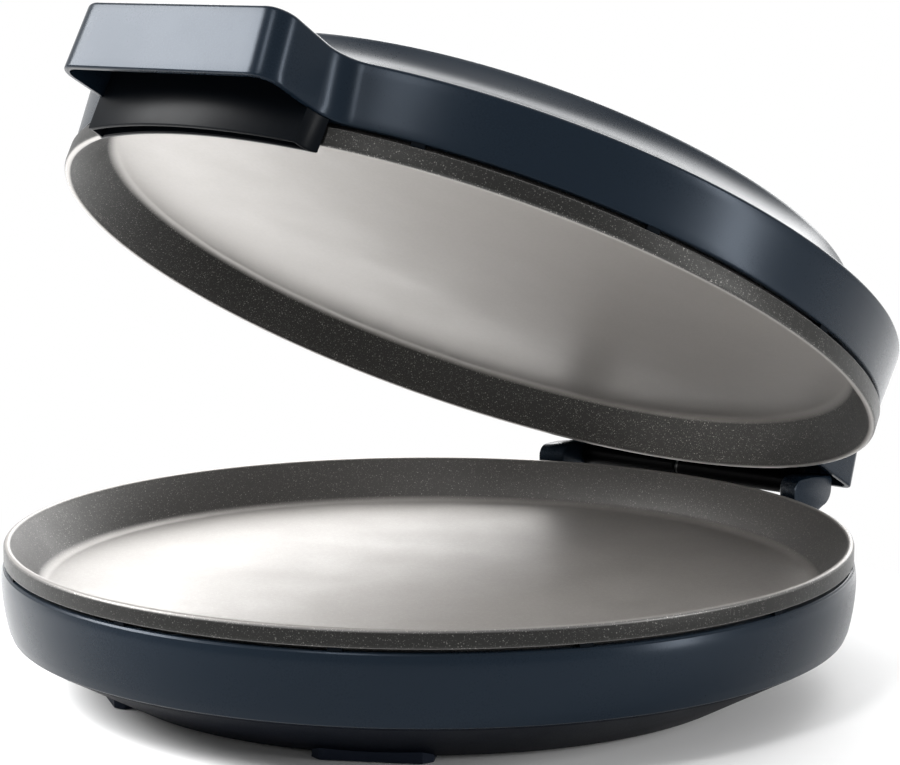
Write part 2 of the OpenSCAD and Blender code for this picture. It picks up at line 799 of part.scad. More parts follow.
// Studs that tie the lid's plate, reflector and housing together
module lid_studs()
    color([0.55, 0.55, 0.56]) at_lid()
        around(post_angles, post_ring_r) bar(screw_r, lid_back_z + 2.5, lid_tray_z + 9);

// Knuckles: two sleeves on the rod, each with a web up to a screwed flange in the cover
module knuckle(x0, x1)
    difference() {
        union() {
            translate([x0, hinge_y, hinge_z]) rotate([0, 90, 0]) cylinder(r = knuckle_r, h = x1 - x0);
            translate([x0 + 2, hinge_y - 2, hinge_z]) cube([x1 - x0 - 4, 4, flange_z - hinge_z]);
            translate([x0 + 2, hinge_y - 7, flange_z - 2.5]) cube([x1 - x0 - 4, 14, 2.5]);
        }
        translate([x0 - cut, hinge_y, hinge_z])
            rotate([0, 90, 0]) cylinder(r = rod_r + run, h = x1 - x0 + 2 * cut);
        for (x = knuckle_screw_x) for (s = [-1, 1]) translate([s * x, hinge_y, 0]) {
            bar(clamp_screw_r + 0.2, flange_z - 4, flange_z + cut);
            bar(clamp_screw_r + 1.8, flange_z - 12, flange_z - 2.5);
        }
    }

module hinge_knuckles()
    color([0.04, 0.04, 0.04]) at_lid() {
        middle = -6.5;
        knuckle(-ear_in + 0.5, middle - knuckle_gap / 2);
        knuckle(middle + knuckle_gap / 2, ear_in - 0.5);
    }

module hinge_screws()
    color([0.5, 0.5, 0.5]) at_lid() pair() for (x = knuckle_screw_x)
        translate([x, hinge_y, 0]) {
            bar(clamp_screw_r, flange_z - 2.5, shoulder_z - 3);
            bar(clamp_screw_r + 1.4, flange_z - 4.5, flange_z - 2.5);
        }

// Two signal lights in the crown, behind the handle
module indicator_lenses()
    color([0.75, 0.12, 0.08]) at_lid() pair() translate([lamp_x, lamp_y, 0])
        difference() {
            union() {
                bar(lens_r, crown_z - wall_t - 1.2, crown_z + 0.8);
                bar(lens_r + 1.6, crown_z - wall_t - 1.2, crown_z - wall_t);
            }
            bar(lens_r - 1.2, crown_z - wall_t - 1.2 - cut, crown_z - 0.6);
        }

module indicator_lamps()
    color([0.9, 0.85, 0.8]) at_lid() pair() translate([lamp_x, lamp_y, 0])
        bar(lens_r - 1.4, lid_tray_z + tray_t + 0.2, crown_z - 0.8);

// Leads over the lid's reflector, from the hinge cover to the element's legs
module lid_leads()
    color([0.55, 0.12, 0.10]) at_lid() {
        lay_z = lid_tray_z + tray_t + lead_r + seat;
        top_z = lid_back_z + leg_drop + 5;
        for (s = [-1, 1])
            wire([[-s * 1.8, lid_r + 2.5, lead_hole_z],
                  [-s * 1.8, tray_r + tray_rim + 2.6, lead_hole_z],
                  [-s * 1.8, tray_r + 1.8, lay_z],
                  leg_place(s, lay_z, element_ring_r + 12),
                  leg_place(s, top_z + lead_r, element_ring_r + 12),
                  leg_place(s, top_z + lead_r, element_ring_r - 2)]);
    }

base_housing();
bottom_cover();
feet();
foot_pads();
base_rim_tabs();
base_plate();
base_element();
base_element_clamps();
base_clamp_screws();
base_reflector();
cover_screws();
thermostat();
thermostat_screws();
thermal_fuse();
terminal_block();
cord_gland();
base_leads();
hinge_rod();
lid_housing();
finger_guard();
guard_screws();
lid_rim_tabs();
lid_plate();
lid_element();
lid_element_clamps();
lid_clamp_screws();
lid_reflector();
lid_studs();
hinge_knuckles();
hinge_screws();
indicator_lenses();
indicator_lamps();
lid_leads();
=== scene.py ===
"""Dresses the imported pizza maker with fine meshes, finishes, studio light and a camera.

Sizes are millimetres in the cooker's own axes: Z up from the table, the handle towards -Y and
the turned parts centred on X = Y = 0. The lid is drawn shut and then swung open with its body.
"""

import logging
import math
from dataclasses import dataclass, field
from enum import Enum
from typing import Callable, Dict, List, Sequence, Tuple

import bmesh
import bpy
from mathutils import Matrix, Vector


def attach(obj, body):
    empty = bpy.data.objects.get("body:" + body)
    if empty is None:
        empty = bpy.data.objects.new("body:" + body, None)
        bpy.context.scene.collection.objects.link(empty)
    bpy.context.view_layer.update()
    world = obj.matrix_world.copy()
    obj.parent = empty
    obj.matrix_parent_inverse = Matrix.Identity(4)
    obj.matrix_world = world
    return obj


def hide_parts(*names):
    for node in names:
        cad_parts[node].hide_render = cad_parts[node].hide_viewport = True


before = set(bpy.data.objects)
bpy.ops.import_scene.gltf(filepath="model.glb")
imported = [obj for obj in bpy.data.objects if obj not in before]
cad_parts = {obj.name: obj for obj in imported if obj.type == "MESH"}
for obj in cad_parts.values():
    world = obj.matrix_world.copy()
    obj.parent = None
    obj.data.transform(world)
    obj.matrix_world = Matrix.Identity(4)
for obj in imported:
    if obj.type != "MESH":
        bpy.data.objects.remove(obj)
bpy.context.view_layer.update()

LOG = logging.getLogger("pizza_maker")
MM = 0.001

Point2 = Tuple[float, float]
Point3 = Tuple[float, float, float]
Colour = Tuple[float, float, float]


def srgb(red: float, green: float, blue: float) -> Colour:
    """Turns a display colour into the linear colour that a shader takes.

    Args:
        red: Red from 0 to 255.
        green: Green from 0 to 255.
        blue: Blue from 0 to 255.

    Returns:
        The same colour as linear values from 0 to 1.
    """
    out = []
    for value in (red, green, blue):
        share = value / 255.0
        out.append(share / 12.92 if share <= 0.04045 else ((share + 0.055) / 1.055) ** 2.4)
    return (out[0], out[1], out[2])


def arc(x: float, y: float, radius: float, start: float, end: float, steps: int) -> List[Point2]:
    """Lists the points of an arc.

    Args:
        x: Centre of the arc, first coordinate.
        y: Centre of the arc, second coordinate.
        radius: Radius of the arc.
        start: First angle in degrees.
        end: Last angle in degrees.
        steps: Number of chords.

    Returns:
        steps + 1 points, both ends included.
    """
    points = []
    for i in range(steps + 1):
        a = math.radians(start + (end - start) * i / steps)
        points.append((x + radius * math.cos(a), y + radius * math.sin(a)))
    return points


def between(a: Sequence[float], b: Sequence[float], share: float) -> Tuple[float, ...]:
    """Returns the point that lies a share of the way from a to b."""
    return tuple(p + (q - p) * share for p, q in zip(a, b))


def on_front(radius: float, angle: float, z: float) -> Point3:
    """Returns the point of a circle at an angle from -Y, in radians, and at a height."""
    return (radius * math.sin(angle), -radius * math.cos(angle), z)


def resample(points: Sequence[Point2], count: int) -> List[Point2]:
    """Spreads points evenly along an open line.

    Args:
        points: Corners of the line.
        count: Number of points wanted, both ends included.

    Returns:
        Points at equal steps along the line.
    """
    lengths = [0.0]
    for p, q in zip(points, points[1:]):
        lengths.append(lengths[-1] + math.dist(p, q))
    out, k = [], 0
    for i in range(count):
        want = lengths[-1] * i / (count - 1)
        while k < len(points) - 2 and lengths[k + 1] < want:
            k += 1
        span = max(lengths[k + 1] - lengths[k], 1e-9)
        out.append(between(points[k], points[k + 1], (want - lengths[k]) / span))
    return out


class Side(Enum):
    """Which of the cooker's two bodies a piece rides on."""

    BASE = "base"
    LID = "lid"


@dataclass(frozen=True)
class Heights:
    """Sizes that several sub-assemblies share, the same as in the part's source.

    Attributes:
        axis_y: Where the axis of the turned parts stands in the frame.
        hinge_y: Place of the hinge behind that axis.
        hinge_z: Height of the hinge.
        lid_open: Angle in degrees at which the lid stands open at rest.
        base_r: Radius of the base plate and of the lid's lower edge.
        belly_r: Largest radius of the base's side.
        lid_plate_r: Radius over the lid plate's rim.
        shoulder_r: Radius of the lid's shoulder.
        skirt_z: Lower edge of the base's side.
        belly_z: Height of its largest radius.
        rim_z: Upper edge of the base's side.
        lip_z: Height of the base plate's lip.
        lid_lip_z: Height of the lid plate's lip.
        lid_edge_z: Lower edge of the lid's side.
        shoulder_z: Height of the lid's shoulder.
        crown_r: Radius of the raised crown.
        crown_edge_z: Height of the crown's edge.
        crown_z: Height of the crown's middle.
        wall: Thickness of the base's side.
        skirt_in: How far the side draws in from its belly to its lower edge.
    """

    axis_y: float = -18.65
    hinge_y: float = 180.5
    hinge_z: float = 59.2
    lid_open: float = 28.47
    base_r: float = 170.0
    belly_r: float = 171.0
    lid_plate_r: float = 171.0
    shoulder_r: float = 171.5
    skirt_z: float = 22.4
    belly_z: float = 44.5
    rim_z: float = 50.1
    lip_z: float = 58.5
    lid_lip_z: float = 58.8
    lid_edge_z: float = 68.8
    shoulder_z: float = 93.0
    crown_r: float = 145.0
    crown_edge_z: float = 111.9
    crown_z: float = 113.2
    wall: float = 2.4
    skirt_in: float = 3.3

    def side_r(self, z: float) -> float:
        """Finds the radius of the base's side.

        Args:
            z: Height.

        Returns:
            The outer radius at that height.
        """
        if z < self.belly_z:
            share = (self.belly_z - z) / (self.belly_z - self.skirt_z)
            return self.belly_r - self.skirt_in * share * share
        share = (z - self.belly_z) / (self.rim_z - self.belly_z)
        return self.belly_r - share * share

    def matrix(self, side: Side) -> Matrix:
        """Places a body's own axes in the frame.

        Args:
            side: The body whose pieces are placed.

        Returns:
            The matrix from the cooker's axes in millimetres to the frame in metres.
        """
        base = Matrix.Scale(MM, 4) @ Matrix.Translation((0.0, self.axis_y, 0.0))
        if side is Side.BASE:
            return base
        pivot = Matrix.Translation((0.0, self.hinge_y, self.hinge_z))
        swing = Matrix.Rotation(math.radians(-self.lid_open), 4, "X")
        return base @ pivot @ swing @ pivot.inverted()


SIZES = Heights()


@dataclass
class Sketch:
    """Collects the points and faces of one piece before it becomes a mesh.

    Attributes:
        points: Corner points in millimetres.
        faces: Corner numbers of each face.
    """

    points: List[Point3] = field(default_factory=list)
    faces: List[Tuple[int, ...]] = field(default_factory=list)

    def ring(self, loop: Sequence[Point3]) -> List[int]:
        """Adds a loop of points and returns their numbers."""
        first = len(self.points)
        self.points.extend(loop)
        return list(range(first, len(self.points)))

    def bridge(self, a: Sequence[int], b: Sequence[int], closed: bool = True) -> None:
        """Joins two loops of equal length with a band of four-sided faces.

        Args:
            a: Numbers of the first loop.
            b: Numbers of the second loop.
            closed: Whether the band goes all the way round.
        """
        count = len(a)
        for i in range(count if closed else count - 1):
            j = (i + 1) % count
            self.faces.append((a[i], a[j], b[j], b[i]))

    def stack(self, loops: Sequence[Sequence[Point3]], closed: bool = True) -> List[List[int]]:
        """Adds several loops of equal length and joins each to the next.

        Args:
            loops: The loops, in order.
            closed: Whether each loop goes all the way round.

        Returns:
            The numbers of each loop's points.
        """
        rings = [self.ring(loop) for loop in loops]
        for a, b in zip(rings, rings[1:]):
            self.bridge(a, b, closed)
        return rings

    def cap(self, loop: Sequence[int]) -> None:
        """Closes a loop with one face."""
        self.faces.append(tuple(loop))

    def hub(self, loop: Sequence[int], centre: Point3) -> None:
        """Closes a loop with a fan of triangles.

        Args:
            loop: Numbers of the loop's points.
            centre: The point that the triangles meet in.
        """
        middle = self.ring([centre])[0]
        for i, p in enumerate(loop):
            self.faces.append((p, loop[(i + 1) % len(loop)], middle))

    def turn(self, profile: Sequence[Point2], segments: int = 288, closed: bool = False) -> None:
        """Turns a profile about a vertical axis.

        Args:
            profile: Points as (radius, height). A radius of 0 closes that end at the axis.
            segments: Steps round the axis.
            closed: Whether the profile's last point joins its first.
        """
        angles = [2 * math.pi * i / segments for i in range(segments)]
        rings, tips = [], []
        for radius, z in profile:
            if radius < 1e-6:
                tips.append((len(rings), (0.0, 0.0, z)))
                continue
            rings.append(self.ring([(radius * math.cos(a), radius * math.sin(a), z) for a in angles]))
        for a, b in zip(rings, rings[1:]):
            self.bridge(a, b)
        if closed:
            self.bridge(rings[-1], rings[0])
        for at, tip in tips:
            self.hub(rings[0] if at == 0 else rings[-1], tip)

    def piece(self, name: str, side: Side, finish: "Finish", replaces: Sequence[str] = (),
              sharp: float = 32.0) -> bpy.types.Object:
        """Makes the mesh, puts it on its body and dresses it.

        Args:
            name: Name of the piece.
            side: The body that it rides on.
            finish: What it is made of.
            replaces: CAD nodes that the piece stands for.
            sharp: Angle in degrees above which an edge stays sharp.

        Returns:
            The finished object.
        """
        mesh = bpy.data.meshes.new(name)
        matrix = SIZES.matrix(side)
        mesh.from_pydata([tuple(matrix @ Vector(p)) for p in self.points], [], self.faces)
        shape = bmesh.new()
        shape.from_mesh(mesh)
        bmesh.ops.recalc_face_normals(shape, faces=shape.faces)
        shape.to_mesh(mesh)
        shape.free()
        smooth(mesh, sharp)
        made = bpy.data.objects.new(name, mesh)
        bpy.context.scene.collection.objects.link(made)
        mesh.materials.append(finish.material())
        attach(made, side.value)
        if replaces:
            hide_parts(*replaces)
        LOG.info("%s: %d faces, rides on %s", name, len(mesh.polygons), side.value)
        return made


def inset_outline(outline: Sequence[Point2], inset: float) -> List[Point2]:
    """Draws a convex anticlockwise outline inwards.

    Args:
        outline: The corners.
        inset: Distance to move each edge inwards.

    Returns:
        As many corners as came in.
    """
    if inset == 0:
        return list(outline)
    count, out = len(outline), []
    for i in range(count):
        before, here, after = outline[i - 1], outline[i], outline[(i + 1) % count]
        n1 = edge_normal(before, here)
        n2 = edge_normal(here, after)
        mid = (n1[0] + n2[0], n1[1] + n2[1])
        scale = inset / max(1e-6, (mid[0] * n1[0] + mid[1] * n1[1]))
        out.append((here[0] - mid[0] * scale, here[1] - mid[1] * scale))
    return out


def edge_normal(a: Point2, b: Point2) -> Point2:
    """Finds the outward normal of an edge of an anticlockwise outline.

    Args:
        a: First corner of the edge.
        b: Second corner of the edge.

    Returns:
        A direction of length 1.
    """
    dx, dy = b[0] - a[0], b[1] - a[1]
    length = max(math.hypot(dx, dy), 1e-9)
    return (dy / length, -dx / length)


def smooth(mesh: bpy.types.Mesh, sharp: float) -> None:
    """Shades a mesh smooth.

    Args:
        mesh: The mesh.
        sharp: Angle in degrees above which an edge stays sharp.
    """
    mesh.polygons.foreach_set("use_smooth", [True] * len(mesh.polygons))
    mesh.set_sharp_from_angle(angle=math.radians(sharp))
    mesh.update()


class NodeBench:
    """Short ways to add and link shader nodes in one node tree.

    Attributes:
        tree: The tree that the nodes go into.
        column: Number of the column that the next node stands in.
    """

    COLUMN_WIDTH = 190

    def __init__(self, tree: bpy.types.NodeTree) -> None:
        """Starts with a tree whose nodes are placed in columns."""
        self.tree = tree
        self.column = 0

    def add(self, kind: str, **values: object) -> bpy.types.Node:
        """Adds a node and sets its properties and inputs.

        Args:
            kind: Blender's name of the node type.
            values: Properties by name; an input's name has underscores for its spaces.

        Returns:
            The new node.
        """
        node = self.tree.nodes.new(kind)
        node.location = (self.column * self.COLUMN_WIDTH, 0)
        self.column += 1
        for key, value in values.items():
            if hasattr(node, key):
                setattr(node, key, value)
            else:
                node.inputs[key.replace("_", " ")].default_value = value
        return node

    def link(self, source: bpy.types.NodeSocket, target: bpy.types.NodeSocket) -> None:
        """Links an output to an input."""
        self.tree.links.new(source, target)

    def math(self, operation: str, a: object, b: object = None) -> bpy.types.NodeSocket:
        """Adds a Math node.

        Args:
            operation: Blender's name of the operation.
            a: A socket or a number.
            b: A socket or a number, if the operation takes two.

        Returns:
            The node's output.
        """
        node = self.add("ShaderNodeMath", operation=operation)
        for i, value in enumerate((a, b)):
            if value is None:
                continue
            if isinstance(value, bpy.types.NodeSocket):
                self.link(value, node.inputs[i])
            else:
                node.inputs[i].default_value = value
        return node.outputs[0]

    def ramp(self, source: bpy.types.NodeSocket, low: float, high: float,
             to_low: float = 0.0, to_high: float = 1.0) -> bpy.types.NodeSocket:
        """Maps a range of values to another, clamped.

        Args:
            source: The value to map.
            low: Value that maps to to_low.
            high: Value that maps to to_high.
            to_low: Result at low.
            to_high: Result at high.

        Returns:
            The mapped value.
        """
        node = self.add("ShaderNodeMapRange")
        node.clamp = True
        self.link(source, node.inputs["Value"])
        for name, value in (("From Min", low), ("From Max", high), ("To Min", to_low), ("To Max", to_high)):
            node.inputs[name].default_value = value
        return node.outputs["Result"]

    def mix(self, factor: bpy.types.NodeSocket, a: object, b: object) -> bpy.types.NodeSocket:
        """Mixes two colours.

        Args:
            factor: Share of the second colour.
            a: The first colour, a socket or a linear colour.
            b: The second colour, a socket or a linear colour.

        Returns:
            The mixed colour.
        """
        node = self.add("ShaderNodeMix", data_type="RGBA")
        self.link(factor, node.inputs["Factor"])
        for name, value in (("A", a), ("B", b)):
            socket = [s for s in node.inputs if s.name == name and s.type == "RGBA"][0]
            if isinstance(value, bpy.types.NodeSocket):
                self.link(value, socket)
            else:
                socket.default_value = (*value, 1.0)
        return [s for s in node.outputs if s.type == "RGBA"][0]


class Effect(Enum):
    """Surface effects that several materials share, each a shader node group."""

    GRAIN = "fine_grain"
    SPECKLE = "sparkle_speckle"
    HANDLING = "handling_marks"


class EffectShelf:
    """Makes each shared effect once and places copies of it in materials.

    Attributes:
        groups: The node groups made so far.
        makers: The method that makes each effect's group.
    """

    def __init__(self) -> None:
        """Starts with no groups made."""
        self.groups: Dict[Effect, bpy.types.NodeTree] = {}
        self.makers: Dict[Effect, Callable[[], bpy.types.NodeTree]] = {
            Effect.GRAIN: self.make_grain,
            Effect.SPECKLE: self.make_speckle,
            Effect.HANDLING: self.make_handling,
        }

    def open_group(self, effect: Effect, inputs: Sequence[Tuple[str, float]],
                   outputs: Sequence[Tuple[str, str]]) -> Tuple[bpy.types.NodeTree, NodeBench]:
        """Starts a group with named sockets.

        Args:
            effect: The effect that the group makes.
            inputs: Names and default values of its float inputs.
            outputs: Names and socket types of its outputs.

        Returns:
            The tree and a bench for it.
        """
        tree = bpy.data.node_groups.new(effect.value, "ShaderNodeTree")
        for name, value in inputs:
            socket = tree.interface.new_socket(name, in_out="INPUT", socket_type="NodeSocketFloat")
            socket.default_value = value
        for name, kind in outputs:
            tree.interface.new_socket(name, in_out="OUTPUT", socket_type=kind)
        return tree, NodeBench(tree)

    def make_grain(self) -> bpy.types.NodeTree:
        """Builds the fine leathery grain of moulded and sprayed surfaces, and returns its group."""
        tree, bench = self.open_group(
            Effect.GRAIN, [("Size", 900.0), ("Roughness Low", 0.3), ("Roughness High", 0.4)],
            [("Height", "NodeSocketFloat"), ("Roughness", "NodeSocketFloat")])
        inlet = bench.add("NodeGroupInput")
        place = bench.add("ShaderNodeTexCoord")
        fine = bench.add("ShaderNodeTexNoise", Detail=4.0, Roughness=0.6)
        bench.link(place.outputs["Object"], fine.inputs["Vector"])
        bench.link(inlet.outputs["Size"], fine.inputs["Scale"])
        broad = bench.add("ShaderNodeTexNoise", Scale=28.0, Detail=3.0, Roughness=0.55)
        bench.link(place.outputs["Object"], broad.inputs["Vector"])
        blend = bench.math("ADD", bench.math("MULTIPLY", fine.outputs["Fac"], 0.5),
                           bench.math("MULTIPLY", broad.outputs["Fac"], 0.5))
        spread = bench.ramp(blend, 0.35, 0.65)
        span = bench.math("SUBTRACT", inlet.outputs["Roughness High"], inlet.outputs["Roughness Low"])
        rough = bench.math("ADD", inlet.outputs["Roughness Low"], bench.math("MULTIPLY", spread, span))
        outlet = bench.add("NodeGroupOutput")
        bench.link(fine.outputs["Fac"], outlet.inputs["Height"])
        bench.link(rough, outlet.inputs["Roughness"])
        return tree

    def make_speckle(self) -> bpy.types.NodeTree:
        """Builds scattered bright flecks of several sizes, and returns its group."""
        tree, bench = self.open_group(
            Effect.SPECKLE, [("Size", 1100.0), ("Amount", 0.2)],
            [("Mask", "NodeSocketFloat"), ("Height", "NodeSocketFloat")])
        inlet = bench.add("NodeGroupInput")
        place = bench.add("ShaderNodeTexCoord")
        masks = []
        for share in (1.0, 0.47):
            cells = bench.add("ShaderNodeTexVoronoi", Randomness=1.0)
            bench.link(place.outputs["Object"], cells.inputs["Vector"])
            bench.link(bench.math("MULTIPLY", inlet.outputs["Size"], share), cells.inputs["Scale"])
            parts = bench.add("ShaderNodeSeparateColor")
            bench.link(cells.outputs["Color"], parts.inputs["Color"])
            chosen = bench.math("LESS_THAN", parts.outputs["Red"], inlet.outputs["Amount"])
            core = bench.ramp(cells.outputs["Distance"], 0.18, 0.42, 1.0, 0.0)
            glow = bench.ramp(parts.outputs["Green"], 0.0, 1.0, 0.25, 1.0)
            masks.append(bench.math("MULTIPLY", bench.math("MULTIPLY", chosen, core), glow))
        both = bench.math("MAXIMUM", masks[0], bench.math("MULTIPLY", masks[1], 0.8))
        pits = bench.add("ShaderNodeTexNoise", Detail=3.0, Roughness=0.7)
        bench.link(place.outputs["Object"], pits.inputs["Vector"])
        bench.link(bench.math("MULTIPLY", inlet.outputs["Size"], 0.6), pits.inputs["Scale"])
        outlet = bench.add("NodeGroupOutput")
        bench.link(both, outlet.inputs["Mask"])
        bench.link(bench.math("ADD", pits.outputs["Fac"], bench.math("MULTIPLY", both, 0.4)),
                   outlet.inputs["Height"])
        return tree

    def make_handling(self) -> bpy.types.NodeTree:
        """Builds faint smears and dust of a handled surface, and returns its group."""
        tree, bench = self.open_group(
            Effect.HANDLING, [("Size", 22.0), ("Amount", 0.1)], [("Mask", "NodeSocketFloat")])
        inlet = bench.add("NodeGroupInput")
        place = bench.add("ShaderNodeTexCoord")
        wave = bench.add("ShaderNodeTexNoise", Detail=5.0, Roughness=0.6, Distortion=1.2)
        bench.link(place.outputs["Object"], wave.inputs["Vector"])
        bench.link(inlet.outputs["Size"], wave.inputs["Scale"])
        smear = bench.math("MULTIPLY", bench.ramp(wave.outputs["Fac"], 0.5, 0.72), inlet.outputs["Amount"])
        outlet = bench.add("NodeGroupOutput")
        bench.link(smear, outlet.inputs["Mask"])
        return tree

    def place(self, bench: NodeBench, effect: Effect, **values: float) -> bpy.types.Node:
        """Puts an effect into a material.

        Args:
            bench: The material's bench.
            effect: The effect wanted.
            values: Its inputs, with underscores for spaces.

        Returns:
            The group node.
        """
        if effect not in self.groups:
            self.groups[effect] = self.makers[effect]()
        node = bench.add("ShaderNodeGroup", node_tree=self.groups[effect])
        for key, value in values.items():
            node.inputs[key.replace("_", " ")].default_value = value
        return node


EFFECTS = EffectShelf()


@dataclass(frozen=True)
class Finish:
    """What a piece is made of. Each kind draws its own material once.

    Attributes:
        name: Name of the material.
        colour: Display colour from 0 to 255.
    """

    name: str
    colour: Colour

    def material(self) -> bpy.types.Material:
        """Returns the material, and makes it when it is first asked for."""
        found = bpy.data.materials.get(self.name)
        if found is not None:
            return found
        made = bpy.data.materials.new(self.name)
        made.use_nodes = True
        made.diffuse_color = (*srgb(*self.colour), 1.0)
        shader = made.node_tree.nodes["Principled BSDF"]
        shader.inputs["Base Color"].default_value = (*srgb(*self.colour), 1.0)
        self.draw(NodeBench(made.node_tree), shader)
        return made

    def draw(self, bench: NodeBench, shader: bpy.types.Node) -> None:
        """Sets the shader and adds the surface's nodes.

        Args:
            bench: The material's bench.
            shader: The material's shader.
        """

    def tone(self, bench: NodeBench, mask: bpy.types.NodeSocket, other: Colour,
             shader: bpy.types.Node) -> None:
        """Colours the shader from the finish's colour to another one.

        Args:
            bench: The material's bench.
            mask: Share of the other colour.
            other: Display colour from 0 to 255.
            shader: The shader that is coloured.
        """
        bench.link(bench.mix(mask, srgb(*self.colour), srgb(*other)), shader.inputs["Base Color"])

    def bump(self, bench: NodeBench, height: bpy.types.NodeSocket, shader: bpy.types.Node,
             depth: float, strength: float) -> None:
        """Roughens the surface.

        Args:
            bench: The material's bench.
            height: Height from 0 to 1.
            shader: The shader whose normal is changed.
            depth: Depth in metres of a height of 1.
            strength: Share of the effect that is kept.
        """
        node = bench.add("ShaderNodeBump", Strength=strength, Distance=depth)
        bench.link(height, node.inputs["Height"])
        bench.link(node.outputs["Normal"], shader.inputs["Normal"])


@dataclass(frozen=True)
class SatinPaint(Finish):
    """Dark metallic paint with a satin sheen, as on the housings.

    Attributes:
        metallic: Share of the metal flake.
        rough: Lowest and highest roughness.
        ior: Index of refraction, low for a soft sheen.
    """

    metallic: float = 0.25
    rough: Tuple[float, float] = (0.26, 0.31)
    ior: float = 1.2

    def draw(self, bench: NodeBench, shader: bpy.types.Node) -> None:
        """Adds the flake and a fine orange-peel.

        Args:
            bench: The material's bench.
            shader: The material's shader.
        """
        shader.inputs["Metallic"].default_value = self.metallic
        shader.inputs["IOR"].default_value = self.ior
        grain = EFFECTS.place(bench, Effect.GRAIN, Size=1500.0, Roughness_Low=self.rough[0],
                              Roughness_High=self.rough[1])
        bench.link(grain.outputs["Roughness"], shader.inputs["Roughness"])
        flake = EFFECTS.place(bench, Effect.SPECKLE, Size=6500.0, Amount=0.3)
        lighter = tuple(min(255.0, c * 1.2 + 3.0) for c in self.colour)
        self.tone(bench, flake.outputs["Mask"], lighter, shader)
        self.bump(bench, grain.outputs["Height"], shader, 0.00001, 0.15)


@dataclass(frozen=True)
class SpeckledCoating(Finish):
    """Dark non-stick coating with pale sparkling flecks, as on the plates.

    Attributes:
        fleck: Display colour of the flecks.
        rough: Lowest and highest roughness.
        amount: Share of the cells that hold a fleck.
        metallic: Share of the metal in the coating.
        steep_shade: Display colour of the painted shade on the sloped wall, which turns from the light.
        upright_shade: Display colour of the painted shade on the vertical band under the lip.
        axis: Direction of the plate's axis, along which the floor faces.
    """

    fleck: Colour = (172.0, 169.0, 165.0)
    rough: Tuple[float, float] = (0.40, 0.50)
    amount: float = 0.17
    metallic: float = 0.75
    steep_shade: Colour = (66.0, 65.0, 64.0)
    upright_shade: Colour = (30.0, 30.0, 29.0)
    axis: Point3 = (0.0, 0.0, 1.0)

    def draw(self, bench: NodeBench, shader: bpy.types.Node) -> None:
        """Adds flecks, fine pits, a grain in the roughness, and the lit tone and painted shade by facing.

        Args:
            bench: The material's bench.
            shader: The material's shader.
        """
        shader.inputs["Specular IOR Level"].default_value = 0.3
        shader.inputs["Metallic"].default_value = self.metallic
        speckle = EFFECTS.place(bench, Effect.SPECKLE, Size=3000.0, Amount=self.amount)
        place = bench.add("ShaderNodeTexCoord")
        # Painted light and shade by facing: the floor, which faces along the axis, takes the finish's
        # colour as its lit tone, and the sloped wall and the vertical band under the lip take the darker
        # colours of painted shade.
        facing = bench.add("ShaderNodeVectorMath", operation="DOT_PRODUCT")
        bench.link(place.outputs["Normal"], facing.inputs[0])
        facing.inputs[1].default_value = self.axis
        facing_floor = bench.math("ABSOLUTE", facing.outputs["Value"])
        level = bench.ramp(facing_floor, 0.62, 0.97)
        slope = bench.ramp(facing_floor, 0.1, 0.45)
        side = bench.mix(slope, srgb(*self.upright_shade), srgb(*self.steep_shade))
        lit_and_shaded_tone = bench.mix(level, side, srgb(*self.colour))
        # The flecks are dimmed to 0.3 on the vertical band, as part of the painted shade.
        sparkle = bench.math("MULTIPLY", speckle.outputs["Mask"], bench.ramp(slope, 0.0, 1.0, 0.3, 1.0))
        bench.link(bench.mix(sparkle, lit_and_shaded_tone, srgb(*self.fleck)), shader.inputs["Base Color"])
        grain = EFFECTS.place(bench, Effect.GRAIN, Size=700.0, Roughness_Low=self.rough[0],
                              Roughness_High=self.rough[1])
        bench.link(grain.outputs["Roughness"], shader.inputs["Roughness"])
        self.bump(bench, speckle.outputs["Height"], shader, 0.00004, 0.3)


@dataclass(frozen=True)
class MouldedPlastic(Finish):
    """Dark moulded plastic with a fine eroded grain.

    Attributes:
        rough: Lowest and highest roughness.
        grain_size: Scale of the grain.
        depth: Depth of the grain in metres.
        ior: Index of refraction, low for a matt moulding.
    """

    rough: Tuple[float, float] = (0.38, 0.5)
    grain_size: float = 1300.0
    depth: float = 0.00003
    ior: float = 1.16

    def draw(self, bench: NodeBench, shader: bpy.types.Node) -> None:
        """Adds the grain and a little dust.

        Args:
            bench: The material's bench.
            shader: The material's shader.
        """
        shader.inputs["IOR"].default_value = self.ior
        grain = EFFECTS.place(bench, Effect.GRAIN, Size=self.grain_size, Roughness_Low=self.rough[0],
                              Roughness_High=self.rough[1])
        bench.link(grain.outputs["Roughness"], shader.inputs["Roughness"])
        marks = EFFECTS.place(bench, Effect.HANDLING, Size=30.0, Amount=0.12)
        dusty = tuple(min(255.0, c * 1.15 + 5.0) for c in self.colour)
        self.tone(bench, marks.outputs["Mask"], dusty, shader)
        self.bump(bench, grain.outputs["Height"], shader, self.depth, 0.4)


@dataclass(frozen=True)
class Metal(Finish):
    """Bare or plated metal with fine wear.

    Attributes:
        rough: Lowest and highest roughness.
        tarnish: Display colour of its duller places.
    """

    rough: Tuple[float, float] = (0.25, 0.42)
    tarnish: Colour = (120.0, 112.0, 104.0)

    def draw(self, bench: NodeBench, shader: bpy.types.Node) -> None:
        """Adds tarnish and a fine surface.

        Args:
            bench: The material's bench.
            shader: The material's shader.
        """
        shader.inputs["Metallic"].default_value = 1.0
        grain = EFFECTS.place(bench, Effect.GRAIN, Size=800.0, Roughness_Low=self.rough[0],
                              Roughness_High=self.rough[1])
        bench.link(grain.outputs["Roughness"], shader.inputs["Roughness"])
        marks = EFFECTS.place(bench, Effect.HANDLING, Size=60.0, Amount=0.6)
        self.tone(bench, marks.outputs["Mask"], self.tarnish, shader)
        self.bump(bench, grain.outputs["Height"], shader, 0.00003, 0.3)


